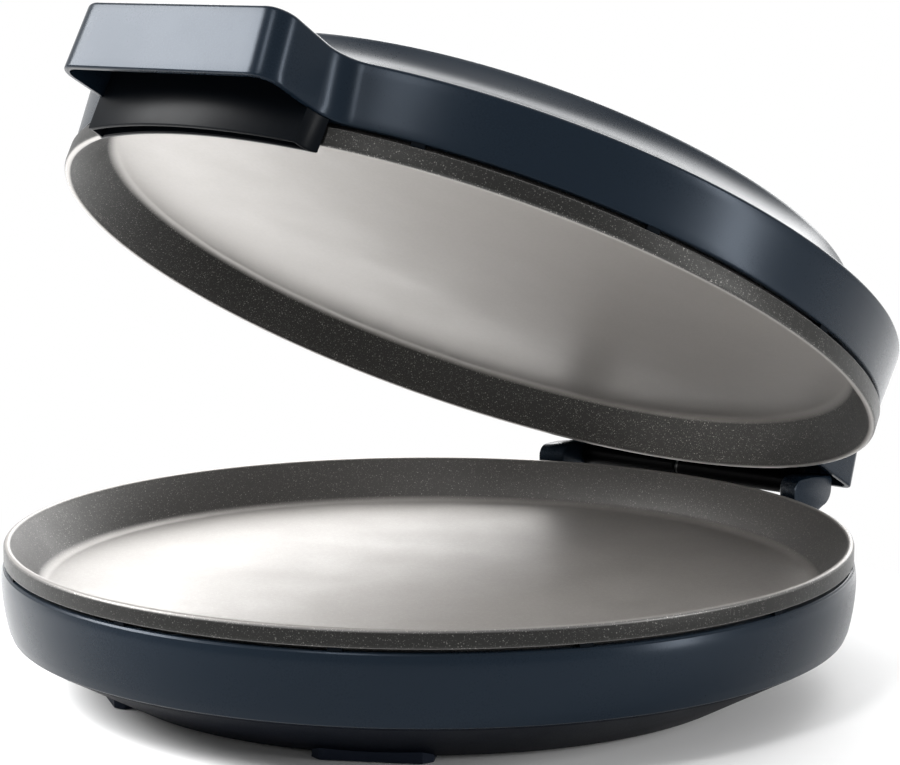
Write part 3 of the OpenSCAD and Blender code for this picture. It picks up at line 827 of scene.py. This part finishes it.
@dataclass(frozen=True)
class ClearLens(Finish):
    """Tinted clear plastic over a lamp."""

    def draw(self, bench: NodeBench, shader: bpy.types.Node) -> None:
        """Makes the lens glossy with a faint moulded pattern.

        Args:
            bench: The material's bench.
            shader: The material's shader.
        """
        shader.inputs["Coat Weight"].default_value = 0.6
        grain = EFFECTS.place(bench, Effect.GRAIN, Size=400.0, Roughness_Low=0.08, Roughness_High=0.16)
        bench.link(grain.outputs["Roughness"], shader.inputs["Roughness"])
        marks = EFFECTS.place(bench, Effect.HANDLING, Size=300.0, Amount=0.5)
        self.tone(bench, marks.outputs["Mask"], tuple(c * 0.6 for c in self.colour), shader)


class Finishes:
    """The cooker's finishes by what they cover."""

    housing = SatinPaint("satin_navy_paint", (14.0, 23.0, 32.0))
    cover = MouldedPlastic("cover_moulding", (7.0, 10.0, 17.0), ior=1.08)
    guard = MouldedPlastic("guard_moulding", (5.0, 7.0, 10.0), rough=(0.28, 0.36), ior=1.1)
    # Both plates carry the same coating: each floor colour is its lit tone, and the wall colours are
    # painted shade, darker on the lid plate's walls.
    base_plate = SpeckledCoating("base_plate_coating", (150.0, 147.0, 144.0), steep_shade=(84.0, 83.0, 82.0))
    lid_plate = SpeckledCoating("lid_plate_coating", (172.0, 169.0, 166.0), steep_shade=(56.0, 56.0, 55.0),
                                axis=(0.0, 0.4767, 0.8791))
    knuckle = MouldedPlastic("hinge_plastic", (5.0, 5.0, 6.0), ior=1.1)
    foot = MouldedPlastic("foot_moulding", (22.0, 27.0, 37.0), ior=1.12)
    trim = MouldedPlastic("trim_moulding", (7.0, 10.0, 14.0), ior=1.06)
    rubber = MouldedPlastic("pad_compound", (13.0, 13.0, 13.0), rough=(0.7, 0.85), grain_size=600.0)
    rod = Metal("ground_steel", (170.0, 171.0, 173.0))
    screw = Metal("plated_screws", (165.0, 166.0, 168.0))
    sheath = Metal("element_sheath", (112.0, 104.0, 96.0), rough=(0.4, 0.6), tarnish=(84.0, 74.0, 88.0))
    strap = Metal("plated_strap", (176.0, 176.0, 172.0))
    tray = Metal("bright_tray", (205.0, 205.0, 203.0), rough=(0.12, 0.25), tarnish=(180.0, 176.0, 168.0))
    ceramic = MouldedPlastic("pale_body", (208.0, 200.0, 182.0), rough=(0.5, 0.65))
    block = MouldedPlastic("ivory_block", (216.0, 212.0, 200.0))
    sleeve = MouldedPlastic("lead_sleeve", (140.0, 36.0, 30.0), rough=(0.5, 0.7))
    lens = ClearLens("signal_lens", (150.0, 24.0, 16.0))
    lamp = ClearLens("signal_lamp", (226.0, 190.0, 160.0))


@dataclass
class Dish:
    """One of the two cast plates.

    Attributes:
        name: Name of the piece.
        node: CAD node that it stands for.
        side: Body that it rides on.
        rim_r: Radius over the rim.
        lip_z: Height of the lip.
        band: Height of the upright band under the lip.
        up: 1 where the dish opens downwards, -1 where it opens upwards.
        deep: Depth from the lip to the floor.
        thick: Thickness of the floor.
        lip: Width of the flat lip.
        run: How far the sloped wall leans in.
        fillet: Radius between the wall and the floor.
    """

    name: str
    node: str
    side: Side
    rim_r: float
    lip_z: float
    band: float
    up: int
    deep: float = 18.0
    thick: float = 3.0
    lip: float = 3.2
    run: float = 11.0
    fillet: float = 6.0

    def section(self) -> List[Point2]:
        """Returns the dish's section as (radius, depth below the lip), from floor to back."""
        slope = math.degrees(math.atan2(self.deep, self.run))
        inner = self.rim_r - self.lip
        fillet_r = inner - self.run - self.fillet * math.tan(math.radians(slope / 2))
        fillet_d = self.deep - self.fillet
        points: List[Point2] = [(0.0, self.deep), (fillet_r * 0.5, self.deep)]
        points += arc(fillet_r, fillet_d, self.fillet, 90, 90 - slope, 14)
        points += [(inner - 0.6, 1.6)]
        points += arc(inner + 1.5, 1.5, 1.5, 180 + 25, 270, 6)
        points += arc(self.rim_r - 1.5, 1.5, 1.5, -90, 0, 7)
        points += arc(self.rim_r - 0.5, self.band - 0.5, 0.5, 0, 90, 3)
        points += [(self.rim_r - 2.4, self.band)]
        points += arc(fillet_r, fillet_d, self.fillet + self.thick, 90 - slope, 90, 10)
        points += [(0.0, self.deep + self.thick)]
        return points

    def build(self) -> bpy.types.Object:
        """Turns the dish and dresses it."""
        sketch = Sketch()
        sketch.turn([(r, self.lip_z + self.up * d) for r, d in self.section()], 360)
        finish = Finishes.lid_plate if self.side is Side.LID else Finishes.base_plate
        return sketch.piece(self.name, self.side, finish, [self.node], sharp=50)


@dataclass
class Block:
    """A block that grows out of the lid's round side, such as the handle.

    Attributes:
        half_low: Half its width at its lower edge.
        half_high: Half its width at its upper edge.
        reach_low: How far it stands out at its lower edge.
        reach_high: How far it stands out at its upper edge.
        corner: Radius of its outer corners.
        fillet: Radius where it flows into the round side.
    """

    half_low: float
    half_high: float
    reach_low: float
    reach_high: float
    corner: float
    fillet: float

    def curve(self, body: float, share: float, inset: float) -> Tuple[List[Point2], float]:
        """Draws half of the block's plan, towards -Y and for X above 0.

        Args:
            body: Radius of the round side at this height.
            share: 0 at the block's lower edge, 1 at its upper edge.
            inset: Distance to draw the plan inwards.

        Returns:
            Points from the round side to the middle of the front, and the angle from -Y at
            which the block leaves the round side, in degrees.
        """
        r = body - inset
        w = self.half_low + (self.half_high - self.half_low) * share - inset
        front = body + self.reach_low + (self.reach_high - self.reach_low) * share - inset
        c = max(self.corner - inset, 0.4)
        f = self.fillet + inset
        fy = math.sqrt((r + f) ** 2 - (w + f) ** 2)
        turn = math.degrees(math.atan2(fy, -(w + f)))
        points = arc(w + f, -fy, f, turn, 180, 16)
        side = resample([points[-1], (w, c - front)], 5)
        points += side[1:-1]
        points += arc(w - c, c - front, c, 0, -90, 14)
        points += resample([(w - c, -front), (0.0, -front)], 10)[1:]
        leave = math.degrees(math.atan2(w + f, fy))
        return points, leave


@dataclass
class LidShell:
    """The lid's housing: a round moulding with its handle in front and hinge cover behind.

    Attributes:
        handle: The handle's block.
        cover: The hinge cover's block.
        edge_round: Radius of the rounded edge at the shoulder.
        foot_round: Radius of the rounded lower edge.
        side_steps: Steps along the round side between the two blocks.
        foot_steps: Chords in the rounded lower edge.
        wall_rows: Rows of faces up the straight wall.
        edge_steps: Chords in the rounded edge at the shoulder.
        ledge: Width of the narrow ledge inside that edge.
        ledge_steps: Rows of faces from the wall to the ledge.
        handle_lift: How far the handle's top rises towards its front.
        lift_y: Where that rise begins.
        lift_run: Length over which it rises.
        cover_drop: How far the hinge cover hangs below the lid's lower edge.
        drop_y: Place behind which the lower edge drops.
        drop_out: Distance outside the round side at which the drop begins.
        drop_run: Distance over which it drops.
        cove_sag: Depth of the cove's hollow.
        cove_steps: Chords in the cove.
        dome: Radius and height of the crown where it levels out.
        flat_r: Radii of the rings on the flat crown.
        hollow: Inset, and height above the lower edge, of each loop of the inner wall.
        roof: Radius and height of the hollow's roof.
        rib: Section of the ring that stands round the lid plate, as (radius, height).
    """

    handle: Block = field(default_factory=lambda: Block(54.6, 52.6, 27.9, 27.5, 10.0, 13.0))
    cover: Block = field(default_factory=lambda: Block(73.9, 73.9, 29.3, 23.1, 6.0, 6.0))
    edge_round: float = 1.8
    foot_round: float = 0.8
    side_steps: int = 130
    foot_steps: int = 4
    wall_rows: int = 7
    edge_steps: int = 6
    ledge: float = 0.7
    ledge_steps: int = 6
    handle_lift: float = 2.2
    lift_y: float = -159.0
    lift_run: float = 38.7
    cover_drop: float = 3.4
    drop_y: float = 120.0
    drop_out: float = 0.5
    drop_run: float = 5.0
    cove_sag: float = 3.0
    cove_steps: int = 22
    dome: Tuple[Point2, ...] = ((138.0, 112.62), (131.0, 112.98))
    flat_r: Tuple[float, ...] = (125.0, 110.0, 70.0)
    hollow: Tuple[Point2, ...] = (
        (1.6, 0.0), (2.3, 0.0), (2.5, 0.3), (2.6, 6.0), (2.7, 20.0), (3.0, 21.2))
    roof: Point2 = (160.0, 90.2)
    rib: Tuple[Point2, ...] = (
        (167.3, 90.2), (167.3, 69.4), (167.8, 68.9), (169.2, 68.9), (169.6, 69.4), (169.6, 90.2))

    def plan(self, share: float, inset: float = 0.0) -> List[Point2]:
        """Draws the lid's outline at a height.

        Args:
            share: 0 at the lower edge, 1 at the shoulder.
            inset: Distance to draw it inwards.

        Returns:
            Points anticlockwise from the middle of the handle's front, always as many.
        """
        body = SIZES.base_r + (SIZES.shoulder_r - SIZES.base_r) * share
        front, leave_front = self.handle.curve(body, share, inset)
        back, leave_back = self.cover.curve(body, share, inset)
        right_front = list(reversed(front))
        r = body - inset
        right_side = []
        a0, a1 = -90 + leave_front, 90 - leave_back
        for i in range(1, self.side_steps):
            a = math.radians(a0 + (a1 - a0) * i / self.side_steps)
            right_side.append((r * math.cos(a), r * math.sin(a)))
        right_back = [(x, -y) for x, y in back]
        half = right_front + right_side + right_back
        mirrored = [(-x, y) for x, y in reversed(half[1:-1])]
        return half + mirrored

    def top_z(self, y: float) -> float:
        """Finds the height of the top outside the round shoulder.

        Args:
            y: Place from front to back.

        Returns:
            The height there.
        """
        if y < self.lift_y:
            return SIZES.shoulder_z + self.handle_lift * (self.lift_y - y) / self.lift_run
        return SIZES.shoulder_z

    def foot_z(self, x: float, y: float) -> float:
        """Finds the height of the lower edge.

        Args:
            x: Place on the outline, across.
            y: Place on the outline, from front to back.

        Returns:
            The height there.
        """
        out = math.hypot(x, y) - SIZES.base_r
        if y > self.drop_y and out > self.drop_out:
            return SIZES.lid_edge_z - self.cover_drop * min(1.0, out / self.drop_run)
        return SIZES.lid_edge_z

    def wall_loops(self) -> List[List[Point3]]:
        """Returns the loops of the outer wall from its lower edge to the start of the top."""
        loops = []
        for i in range(self.foot_steps + 1):
            a = math.pi / 2 * i / self.foot_steps
            inset = self.foot_round * (1 - math.sin(a))
            rise = self.foot_round * (1 - math.cos(a))
            flat = self.plan(0.0, inset)
            loops.append([(x, y, self.foot_z(x, y) + rise) for x, y in flat])
        for i in range(1, self.wall_rows):
            share = i / self.wall_rows
            low = self.plan(share)
            loops.append([(x, y, self.mid_z(x, y, share)) for x, y in low])
        for i in range(self.edge_steps + 1):
            a = math.pi / 2 * i / self.edge_steps
            inset = self.edge_round * (1 - math.cos(a))
            drop = self.edge_round * (1 - math.sin(a))
            flat = self.plan(1.0, inset)
            loops.append([(x, y, self.top_z(y) - drop) for x, y in flat])
        return loops

    def mid_z(self, x: float, y: float, share: float) -> float:
        """Finds a height between the lower and the upper rounded edge.

        Args:
            x: Place on the outline, across.
            y: Place on the outline, from front to back.
            share: 0 at the lower edge, 1 at the upper one.

        Returns:
            The height there.
        """
        low = self.foot_z(x, y) + self.foot_round
        high = self.top_z(y) - self.edge_round
        return low + (high - low) * share

    def crown_loops(self, rim: Sequence[Point3]) -> List[List[Point3]]:
        """Returns the loops of the top, from the shoulder over the cove to the flat crown.

        Args:
            rim: The last loop of the outer wall.

        Returns:
            Loops with as many points as the rim.
        """
        angles = [math.atan2(p[1], p[0]) for p in rim]
        start_r = SIZES.shoulder_r - self.edge_round - self.ledge
        first = [(start_r * math.cos(a), start_r * math.sin(a)) for a in angles]
        loops = []
        for i in range(1, self.ledge_steps + 1):
            share = i / self.ledge_steps
            loop = []
            for p, q in zip(rim, first):
                x, y = between(p[:2], q, share)
                loop.append((x, y, SIZES.shoulder_z + (p[2] - SIZES.shoulder_z) * (1 - share)))
            loops.append(loop)
        for radius, z in self.crown_profile(start_r):
            loops.append([(radius * math.cos(a), radius * math.sin(a), z) for a in angles])
        return loops

    def crown_profile(self, start_r: float) -> List[Point2]:
        """Draws the section of the cove and the crown.

        Args:
            start_r: Radius at which the cove begins.

        Returns:
            Points as (radius, height), from the cove to the flat crown.
        """
        a = (start_r, SIZES.shoulder_z)
        b = (SIZES.crown_r + 0.5, SIZES.crown_edge_z - 0.6)
        chord = math.dist(a, b)
        sag = self.cove_sag
        radius = ((chord / 2) ** 2 + sag ** 2) / (2 * sag)
        mid = ((a[0] + b[0]) / 2, (a[1] + b[1]) / 2)
        up = ((b[1] - a[1]) / chord, (a[0] - b[0]) / chord)
        cx, cy = mid[0] + up[0] * (radius - sag), mid[1] + up[1] * (radius - sag)
        start = math.degrees(math.atan2(a[1] - cy, a[0] - cx)) % 360
        end = math.degrees(math.atan2(b[1] - cy, b[0] - cx)) % 360
        points = arc(cx, cy, radius, start, end, self.cove_steps)[1:]
        points += [(SIZES.crown_r - 0.3, SIZES.crown_edge_z - 0.05)]
        points += [(SIZES.crown_r - 1.4, SIZES.crown_edge_z + 0.12)]
        points += self.dome
        points += [(r, SIZES.crown_z) for r in self.flat_r]
        return points

    def build(self) -> bpy.types.Object:
        """Builds the outer moulding with its hollow handle and hinge cover."""
        sketch = Sketch()
        wall = self.wall_loops()
        loops = wall + self.crown_loops(wall[-1])
        rings = sketch.stack(loops)
        sketch.hub(rings[-1], (0.0, 0.0, SIZES.crown_z))
        inside = []
        for inset, lift in self.hollow:
            flat = self.plan(0.0 if lift < 1 else 0.3, inset)
            inside.append([(x, y, self.foot_z(x, y) + lift) for x, y in flat])
        inner = sketch.stack(inside)
        sketch.bridge(inner[0], rings[0])
        angles = [math.atan2(p[1], p[0]) for p in inside[-1]]
        roof_r, roof_z = self.roof
        roof = sketch.ring([(roof_r * math.cos(a), roof_r * math.sin(a), roof_z) for a in angles])
        sketch.bridge(inner[-1], roof)
        sketch.turn(self.rib)
        return sketch.piece("lid_housing_shell", Side.LID, Finishes.housing,
                            ["lid_housing"], sharp=38)


@dataclass
class BaseShell:
    """The base's housing with its two hinge ears.

    Attributes:
        ear_in: Place of an ear's inner face across the cooker.
        ear_front_r: Radius at which its front face stands.
        ear_levels: Inset of an ear's outline, with the distance from its inner face.
        edge_round: Radius of the side's lower edge.
        rim_round: Radius of the side's upper edge.
        side_rows: Rows of points up the side.
        thin_z: Height of the bend on the wall's inner face.
    """

    ear_in: float = 59.7
    ear_front_r: float = 172.5
    ear_levels: Tuple[Point2, ...] = (
        (1.0, 0.0), (0.3, 0.3), (0.0, 1.0), (0.0, 5.5), (0.0, 10.0), (0.3, 10.7), (1.0, 11.0))
    edge_round: float = 1.2
    rim_round: float = 0.9
    side_rows: int = 15
    thin_z: float = 40.0

    def wall_profile(self) -> List[Point2]:
        """Returns the closed section of the turned wall as (radius, height)."""
        s = SIZES
        points: List[Point2] = []
        foot = s.side_r(s.skirt_z)
        edge, rim = self.edge_round, self.rim_round
        points += arc(foot - edge, s.skirt_z + edge, edge, -90, -8, 5)
        for i in range(1, self.side_rows + 1):
            z = s.skirt_z + 1.4 + (s.rim_z - 1.0 - s.skirt_z - 1.4) * i / self.side_rows
            points.append((s.side_r(z), z))
        points += arc(s.side_r(s.rim_z) - rim, s.rim_z - rim, rim, 10, 90, 4)
        points += [(166.2, s.rim_z), (166.0, s.rim_z - 0.4), (166.0, s.rim_z - 2.2), (168.0, s.rim_z - 2.4)]
        points += [(s.side_r(self.thin_z) - s.wall, self.thin_z)]
        points += [(foot - s.wall, s.skirt_z + 1.0), (foot - s.wall, s.skirt_z)]
        return points

    def ear_outline(self, front: float) -> List[Point2]:
        """Draws an ear from its side.

        Args:
            front: Where its front face stands above the rim.

        Returns:
            Points as (y, z), anticlockwise.
        """
        s = SIZES
        top = s.hinge_z + 5.9
        back = s.hinge_y + 6.1
        points: List[Point2] = [(min(front, 158.0), 34.0), (165.0, 45.2)]
        points += arc(back - 7.5, s.rim_z + 8.3, 7.5, -80, 0, 10)
        points += arc(back - 1.8, top - 3.0, 1.8, 0, 78, 5)
        points += [(s.hinge_y - 10.0, top)]
        points += arc(front + 5.2, top - 5.2, 5.2, 90, 180, 8)
        points += [(front, 54.0)]
        return points

    def add_ear(self, sketch: Sketch, sign: int) -> None:
        """Adds one rounded ear to the housing's sketch.

        Args:
            sketch: Where it is added.
            sign: 1 for the right ear, -1 for the left one.
        """
        loops = []
        for inset, across in self.ear_levels:
            x = self.ear_in + across
            front = math.sqrt(self.ear_front_r ** 2 - x ** 2)
            flat = inset_outline(self.ear_outline(front), inset)
            loops.append([(sign * x, y, z) for y, z in flat])
        rings = sketch.stack(loops)
        sketch.cap(rings[0])
        sketch.cap(list(reversed(rings[-1])))

    def build(self) -> bpy.types.Object:
        """Builds the housing and dresses it."""
        sketch = Sketch()
        sketch.turn(self.wall_profile(), 360, closed=True)
        for sign in (1, -1):
            self.add_ear(sketch, sign)
        return sketch.piece("base_housing_shell", Side.BASE, Finishes.housing,
                            ["base_housing"], sharp=38)


@dataclass
class FingerGuard:
    """The curved trough that hangs under the handle, open below.

    Attributes:
        inner_r: Radius of its inner face.
        outer_r: Radius of its outer face.
        low_z: Height of its lower edge.
        high_z: Height of the trough's outer top edge.
        tall_z: Height of the tall wall inside the handle.
        wall: Thickness of the walls.
        half_width: Half the width between the straight ends.
        fillet: Radius where the ends flow into the lid's round side.
        end_range: Angles in degrees between which an end is looked for.
        halvings: How often this range is halved.
        steps: Chords along the curved walls.
        end_steps: Steps across an end.
        tuck_z: Height of the trough's inner roof.
        tuck_in: Extra distance that the roof's ends are drawn inwards.
        fence_z: Height at which the tall wall begins.
        fence_in: Distance that the tall wall's ends are drawn inwards.
        fence_end_r: Radius at which those ends are measured.
        fence_bevel: Size of the bevel on the tall wall's top.
    """

    inner_r: float = 172.3
    outer_r: float = 180.9
    low_z: float = 55.4
    high_z: float = 68.7
    tall_z: float = 89.8
    wall: float = 1.8
    half_width: float = 53.5
    fillet: float = 13.0
    end_range: Tuple[float, float] = (10.0, 24.0)
    halvings: int = 40
    steps: int = 48
    end_steps: int = 8
    tuck_z: float = 73.0
    tuck_in: float = 3.4
    fence_z: float = 68.0
    fence_in: float = 3.4
    fence_end_r: float = 179.0
    fence_bevel: float = 0.4

    def half_angle(self, radius: float, inset: float) -> float:
        """Finds where the guard ends at a radius.

        Args:
            radius: The radius.
            inset: Distance that the end is drawn inwards.

        Returns:
            The angle of the end from -Y, in degrees.
        """
        w, f = self.half_width - inset, self.fillet + inset
        r = SIZES.base_r - inset
        fy = math.sqrt((r + f) ** 2 - (w + f) ** 2)
        # The end face follows the handle's plan: a fillet near the lid, then a straight side
        low, high = self.end_range
        for _ in range(self.halvings):
            mid = (low + high) / 2
            x, y = radius * math.sin(math.radians(mid)), -radius * math.cos(math.radians(mid))
            if y < -fy:
                outside = x > w
            else:
                outside = math.hypot(x - (w + f), y + fy) < f
            low, high = (low, mid) if outside else (mid, high)
        return low

    def trough_loop(self, inset: float, z: float, side_inset: float) -> List[Point3]:
        """Draws the trough's closed plan at a height.

        Args:
            inset: Distance that the two curved walls are drawn inwards.
            z: Height of the loop.
            side_inset: Distance that the ends are drawn inwards.

        Returns:
            The loop's points.
        """
        outer, inner = self.outer_r - inset, self.inner_r + inset
        end_outer = self.half_angle(outer, side_inset)
        end_inner = self.half_angle(inner, side_inset)
        loop = []
        for i in range(self.steps + 1):
            loop.append(on_front(outer, math.radians(-end_outer + 2 * end_outer * i / self.steps), z))
        for i in range(1, self.end_steps):
            r = outer + (inner - outer) * i / self.end_steps
            loop.append(on_front(r, math.radians(self.half_angle(r, side_inset)), z))
        for i in range(self.steps + 1):
            loop.append(on_front(inner, math.radians(end_inner - 2 * end_inner * i / self.steps), z))
        for i in range(self.end_steps - 1, 0, -1):
            r = outer + (inner - outer) * i / self.end_steps
            loop.append(on_front(r, -math.radians(self.half_angle(r, side_inset)), z))
        return loop

    def add_fence(self, sketch: Sketch) -> None:
        """Adds the tall wall that stands inside the handle.

        Args:
            sketch: Where it is added.
        """
        outer, inner, bevel = self.outer_r, self.outer_r - self.wall, self.fence_bevel
        end = self.half_angle(self.fence_end_r, self.fence_in)
        angles = [math.radians(-end + 2 * end * i / self.steps) for i in range(self.steps + 1)]
        section = [(outer, self.fence_z), (outer, self.tall_z - bevel), (outer - bevel, self.tall_z),
                   (inner + bevel, self.tall_z), (inner, self.tall_z - bevel), (inner, self.fence_z)]
        sketch.stack([[on_front(r, a, z) for a in angles] for r, z in section], closed=False)

    def build(self) -> bpy.types.Object:
        """Builds the trough with rounded lower lips and the tall wall inside the handle."""
        sketch = Sketch()
        loops = [self.trough_loop(0.0, self.high_z, 0.2), self.trough_loop(0.0, self.low_z + 0.6, 0.2)]
        loops += [self.trough_loop(0.15, self.low_z + 0.2, 0.35), self.trough_loop(0.5, self.low_z, 0.7)]
        loops += [self.trough_loop(self.wall - 0.4, self.low_z, self.wall - 0.2)]
        loops += [self.trough_loop(self.wall, self.low_z + 0.5, self.wall + 0.2)]
        loops += [self.trough_loop(self.wall, self.tuck_z, self.wall + self.tuck_in)]
        rings = sketch.stack(loops)
        sketch.cap(rings[-1])
        self.add_fence(sketch)
        return sketch.piece("finger_guard_trough", Side.LID, Finishes.guard,
                            ["finger_guard"], sharp=35)


class CadDresser:
    """Gives its finish to each CAD node that no dressed piece replaces."""

    PLAN: Dict[str, Finish] = {
        "bottom_cover": Finishes.cover,
        "feet": Finishes.foot,
        "foot_pads": Finishes.rubber,
        "base_rim_tabs": Finishes.trim,
        "base_element": Finishes.sheath,
        "base_element_clamps": Finishes.strap,
        "base_clamp_screws": Finishes.screw,
        "base_reflector": Finishes.tray,
        "cover_screws": Finishes.screw,
        "thermostat": Finishes.ceramic,
        "thermostat_screws": Finishes.screw,
        "thermal_fuse": Finishes.ceramic,
        "terminal_block": Finishes.block,
        "cord_gland": Finishes.rubber,
        "base_leads": Finishes.sleeve,
        "hinge_rod": Finishes.rod,
        "guard_screws": Finishes.screw,
        "lid_rim_tabs": Finishes.trim,
        "lid_element": Finishes.sheath,
        "lid_element_clamps": Finishes.strap,
        "lid_clamp_screws": Finishes.screw,
        "lid_reflector": Finishes.tray,
        "lid_studs": Finishes.screw,
        "hinge_knuckles": Finishes.knuckle,
        "hinge_screws": Finishes.screw,
        "indicator_lenses": Finishes.lens,
        "indicator_lamps": Finishes.lamp,
        "lid_leads": Finishes.sleeve,
    }

    def dress(self) -> None:
        """Puts the finishes on the nodes."""
        for name, finish in self.PLAN.items():
            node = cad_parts[name]
            node.data.materials.clear()
            node.data.materials.append(finish.material())
            node.data.polygons.foreach_set("material_index", [0] * len(node.data.polygons))
            LOG.info("%s: dressed as %s", name, finish.name)


@dataclass
class Softbox:
    """An area light that faces the cooker.

    Attributes:
        name: Name of the light.
        towards: Direction from the cooker to the light.
        away: Distance in metres.
        size: Width and height in metres.
        power: Power in watts.
    """

    name: str
    towards: Point3
    away: float
    size: Tuple[float, float]
    power: float

    def build(self, target: Vector) -> None:
        """Hangs the light and turns it to the cooker.

        Args:
            target: The point that it faces.
        """
        lamp = bpy.data.lights.new(self.name, "AREA")
        lamp.shape = "RECTANGLE"
        lamp.size, lamp.size_y = self.size
        lamp.energy = self.power
        made = bpy.data.objects.new(self.name, lamp)
        way = Vector(self.towards).normalized()
        made.location = target + way * self.away
        made.rotation_mode = "QUATERNION"
        made.rotation_quaternion = (-way).to_track_quat("-Z", "Y")
        bpy.context.scene.collection.objects.link(made)


@dataclass
class Studio:
    """The camera, the lights, the floor and the white surroundings.

    Attributes:
        lens: Focal length in millimetres.
        sensor: Width of the sensor in millimetres.
        eye: Where the camera stands, in metres.
        right: Direction to the right of the picture.
        up: Direction to its top.
        back: Direction from the cooker to the camera.
        ambient: Strength of the surroundings as light.
        fade_from: Distance in metres at which the floor begins to fade to white.
        fade_to: Distance in metres at which it is plain white.
        floor_half: Half the floor's width in metres.
    """

    lens: float = 113.5965
    sensor: float = 36.0
    eye: Point3 = (0.7398937, -0.8653689, 0.2900854)
    right: Point3 = (0.75773121, 0.65256585, 0.00110792)
    up: Point3 = (-0.09899984, 0.11327585, 0.98861904)
    back: Point3 = (0.64501352, -0.74921719, 0.15043656)
    ambient: float = 0.45
    fade_from: float = 0.17
    fade_to: float = 0.27
    floor_half: float = 3.0

    def camera(self) -> None:
        """Stands the camera where the photograph was taken from."""
        data = bpy.data.cameras.new("view_camera")
        data.lens = self.lens
        data.sensor_width = self.sensor
        data.sensor_fit = "HORIZONTAL"
        data.clip_start, data.clip_end = 0.05, 60.0
        made = bpy.data.objects.new("view_camera", data)
        turn = Matrix((self.right, self.up, self.back)).transposed().to_4x4()
        made.matrix_world = Matrix.Translation(self.eye) @ turn
        bpy.context.scene.collection.objects.link(made)
        bpy.context.scene.camera = made

    def lights(self) -> None:
        """Hangs the softboxes."""
        target = Vector((0.0, 0.0, 0.09))
        boxes = [
            Softbox("key_softbox", (-0.645, -0.534, 0.546), 1.7, (0.75, 0.75), 62.0),
            Softbox("right_softbox", (0.95, 0.24, 0.22), 1.8, (0.22, 0.9), 26.0),
            Softbox("front_softbox", (0.16, -0.68, 0.72), 1.8, (0.3, 0.5), 10.0),
            Softbox("back_softbox", (-0.42, 0.82, 0.45), 1.8, (1.8, 1.2), 30.0),
            Softbox("top_softbox", (0.1, 0.3, 1.0), 1.9, (1.4, 1.0), 6.0),
        ]
        for box in boxes:
            box.build(target)

    def world(self) -> None:
        """Lights the scene softly and shows white to the camera and in reflections."""
        world = bpy.data.worlds.new("white_studio")
        world.use_nodes = True
        bench = NodeBench(world.node_tree)
        world.node_tree.nodes.clear()
        path = bench.add("ShaderNodeLightPath")
        seen = bench.math("MAXIMUM", bench.math("MAXIMUM", path.outputs["Is Camera Ray"],
                                                path.outputs["Is Glossy Ray"]),
                          path.outputs["Is Transmission Ray"])
        soft = bench.add("ShaderNodeBackground", Color=(1.0, 1.0, 1.0, 1.0), Strength=self.ambient)
        white = bench.add("ShaderNodeBackground", Color=(1.0, 1.0, 1.0, 1.0), Strength=1.0)
        choose = bench.add("ShaderNodeMixShader")
        bench.link(seen, choose.inputs["Fac"])
        bench.link(soft.outputs[0], choose.inputs[1])
        bench.link(white.outputs[0], choose.inputs[2])
        out = bench.add("ShaderNodeOutputWorld")
        bench.link(choose.outputs[0], out.inputs["Surface"])
        bpy.context.scene.world = world

    def fade_floor(self, bench: NodeBench, shader: bpy.types.Node) -> None:
        """Turns the far floor plain white to the camera, past the cooker's shadow.

        Args:
            bench: The floor material's bench.
            shader: The floor's own shader.
        """
        place = bench.add("ShaderNodeTexCoord")
        away = bench.add("ShaderNodeVectorMath", operation="LENGTH")
        bench.link(place.outputs["Object"], away.inputs[0])
        path = bench.add("ShaderNodeLightPath")
        far = bench.ramp(away.outputs["Value"], self.fade_from, self.fade_to)
        white = bench.add("ShaderNodeEmission", Color=(1.0, 1.0, 1.0, 1.0), Strength=1.0)
        choose = bench.add("ShaderNodeMixShader")
        bench.link(bench.math("MULTIPLY", far, path.outputs["Is Camera Ray"]), choose.inputs["Fac"])
        bench.link(shader.outputs[0], choose.inputs[1])
        bench.link(white.outputs[0], choose.inputs[2])
        outlet = bench.tree.nodes["Material Output"]
        bench.link(choose.outputs[0], outlet.inputs["Surface"])

    def floor(self) -> None:
        """Lays a plain pale floor."""
        half = self.floor_half
        mesh = bpy.data.meshes.new("studio_floor")
        corners = [(-half, -half, 0), (half, -half, 0), (half, half, 0), (-half, half, 0)]
        mesh.from_pydata(corners, [], [(0, 1, 2, 3)])
        made = bpy.data.objects.new("studio_floor", mesh)
        bpy.context.scene.collection.objects.link(made)
        material = bpy.data.materials.new("pale_floor")
        material.use_nodes = True
        shader = material.node_tree.nodes["Principled BSDF"]
        shader.inputs["Base Color"].default_value = (0.9, 0.9, 0.9, 1.0)
        shader.inputs["Roughness"].default_value = 0.7
        shader.inputs["Specular IOR Level"].default_value = 0.2
        self.fade_floor(NodeBench(material.node_tree), shader)
        mesh.materials.append(material)

    def build(self) -> None:
        """Sets up the whole studio."""
        bpy.context.scene.view_settings.view_transform = "Standard"
        self.camera()
        self.lights()
        self.world()
        self.floor()


def main() -> None:
    """Builds the studio and the cooker, and reports each piece."""
    logging.basicConfig(level=logging.INFO, format="%(message)s")
    Studio().build()
    Dish("base_plate_dish", "base_plate", Side.BASE, SIZES.base_r, SIZES.lip_z, 7.0, -1).build()
    Dish("lid_plate_dish", "lid_plate", Side.LID, SIZES.lid_plate_r, SIZES.lid_lip_z, 7.7, 1).build()
    BaseShell().build()
    LidShell().build()
    FingerGuard().build()
    CadDresser().dress()


if __name__ == "__main__":
    main()
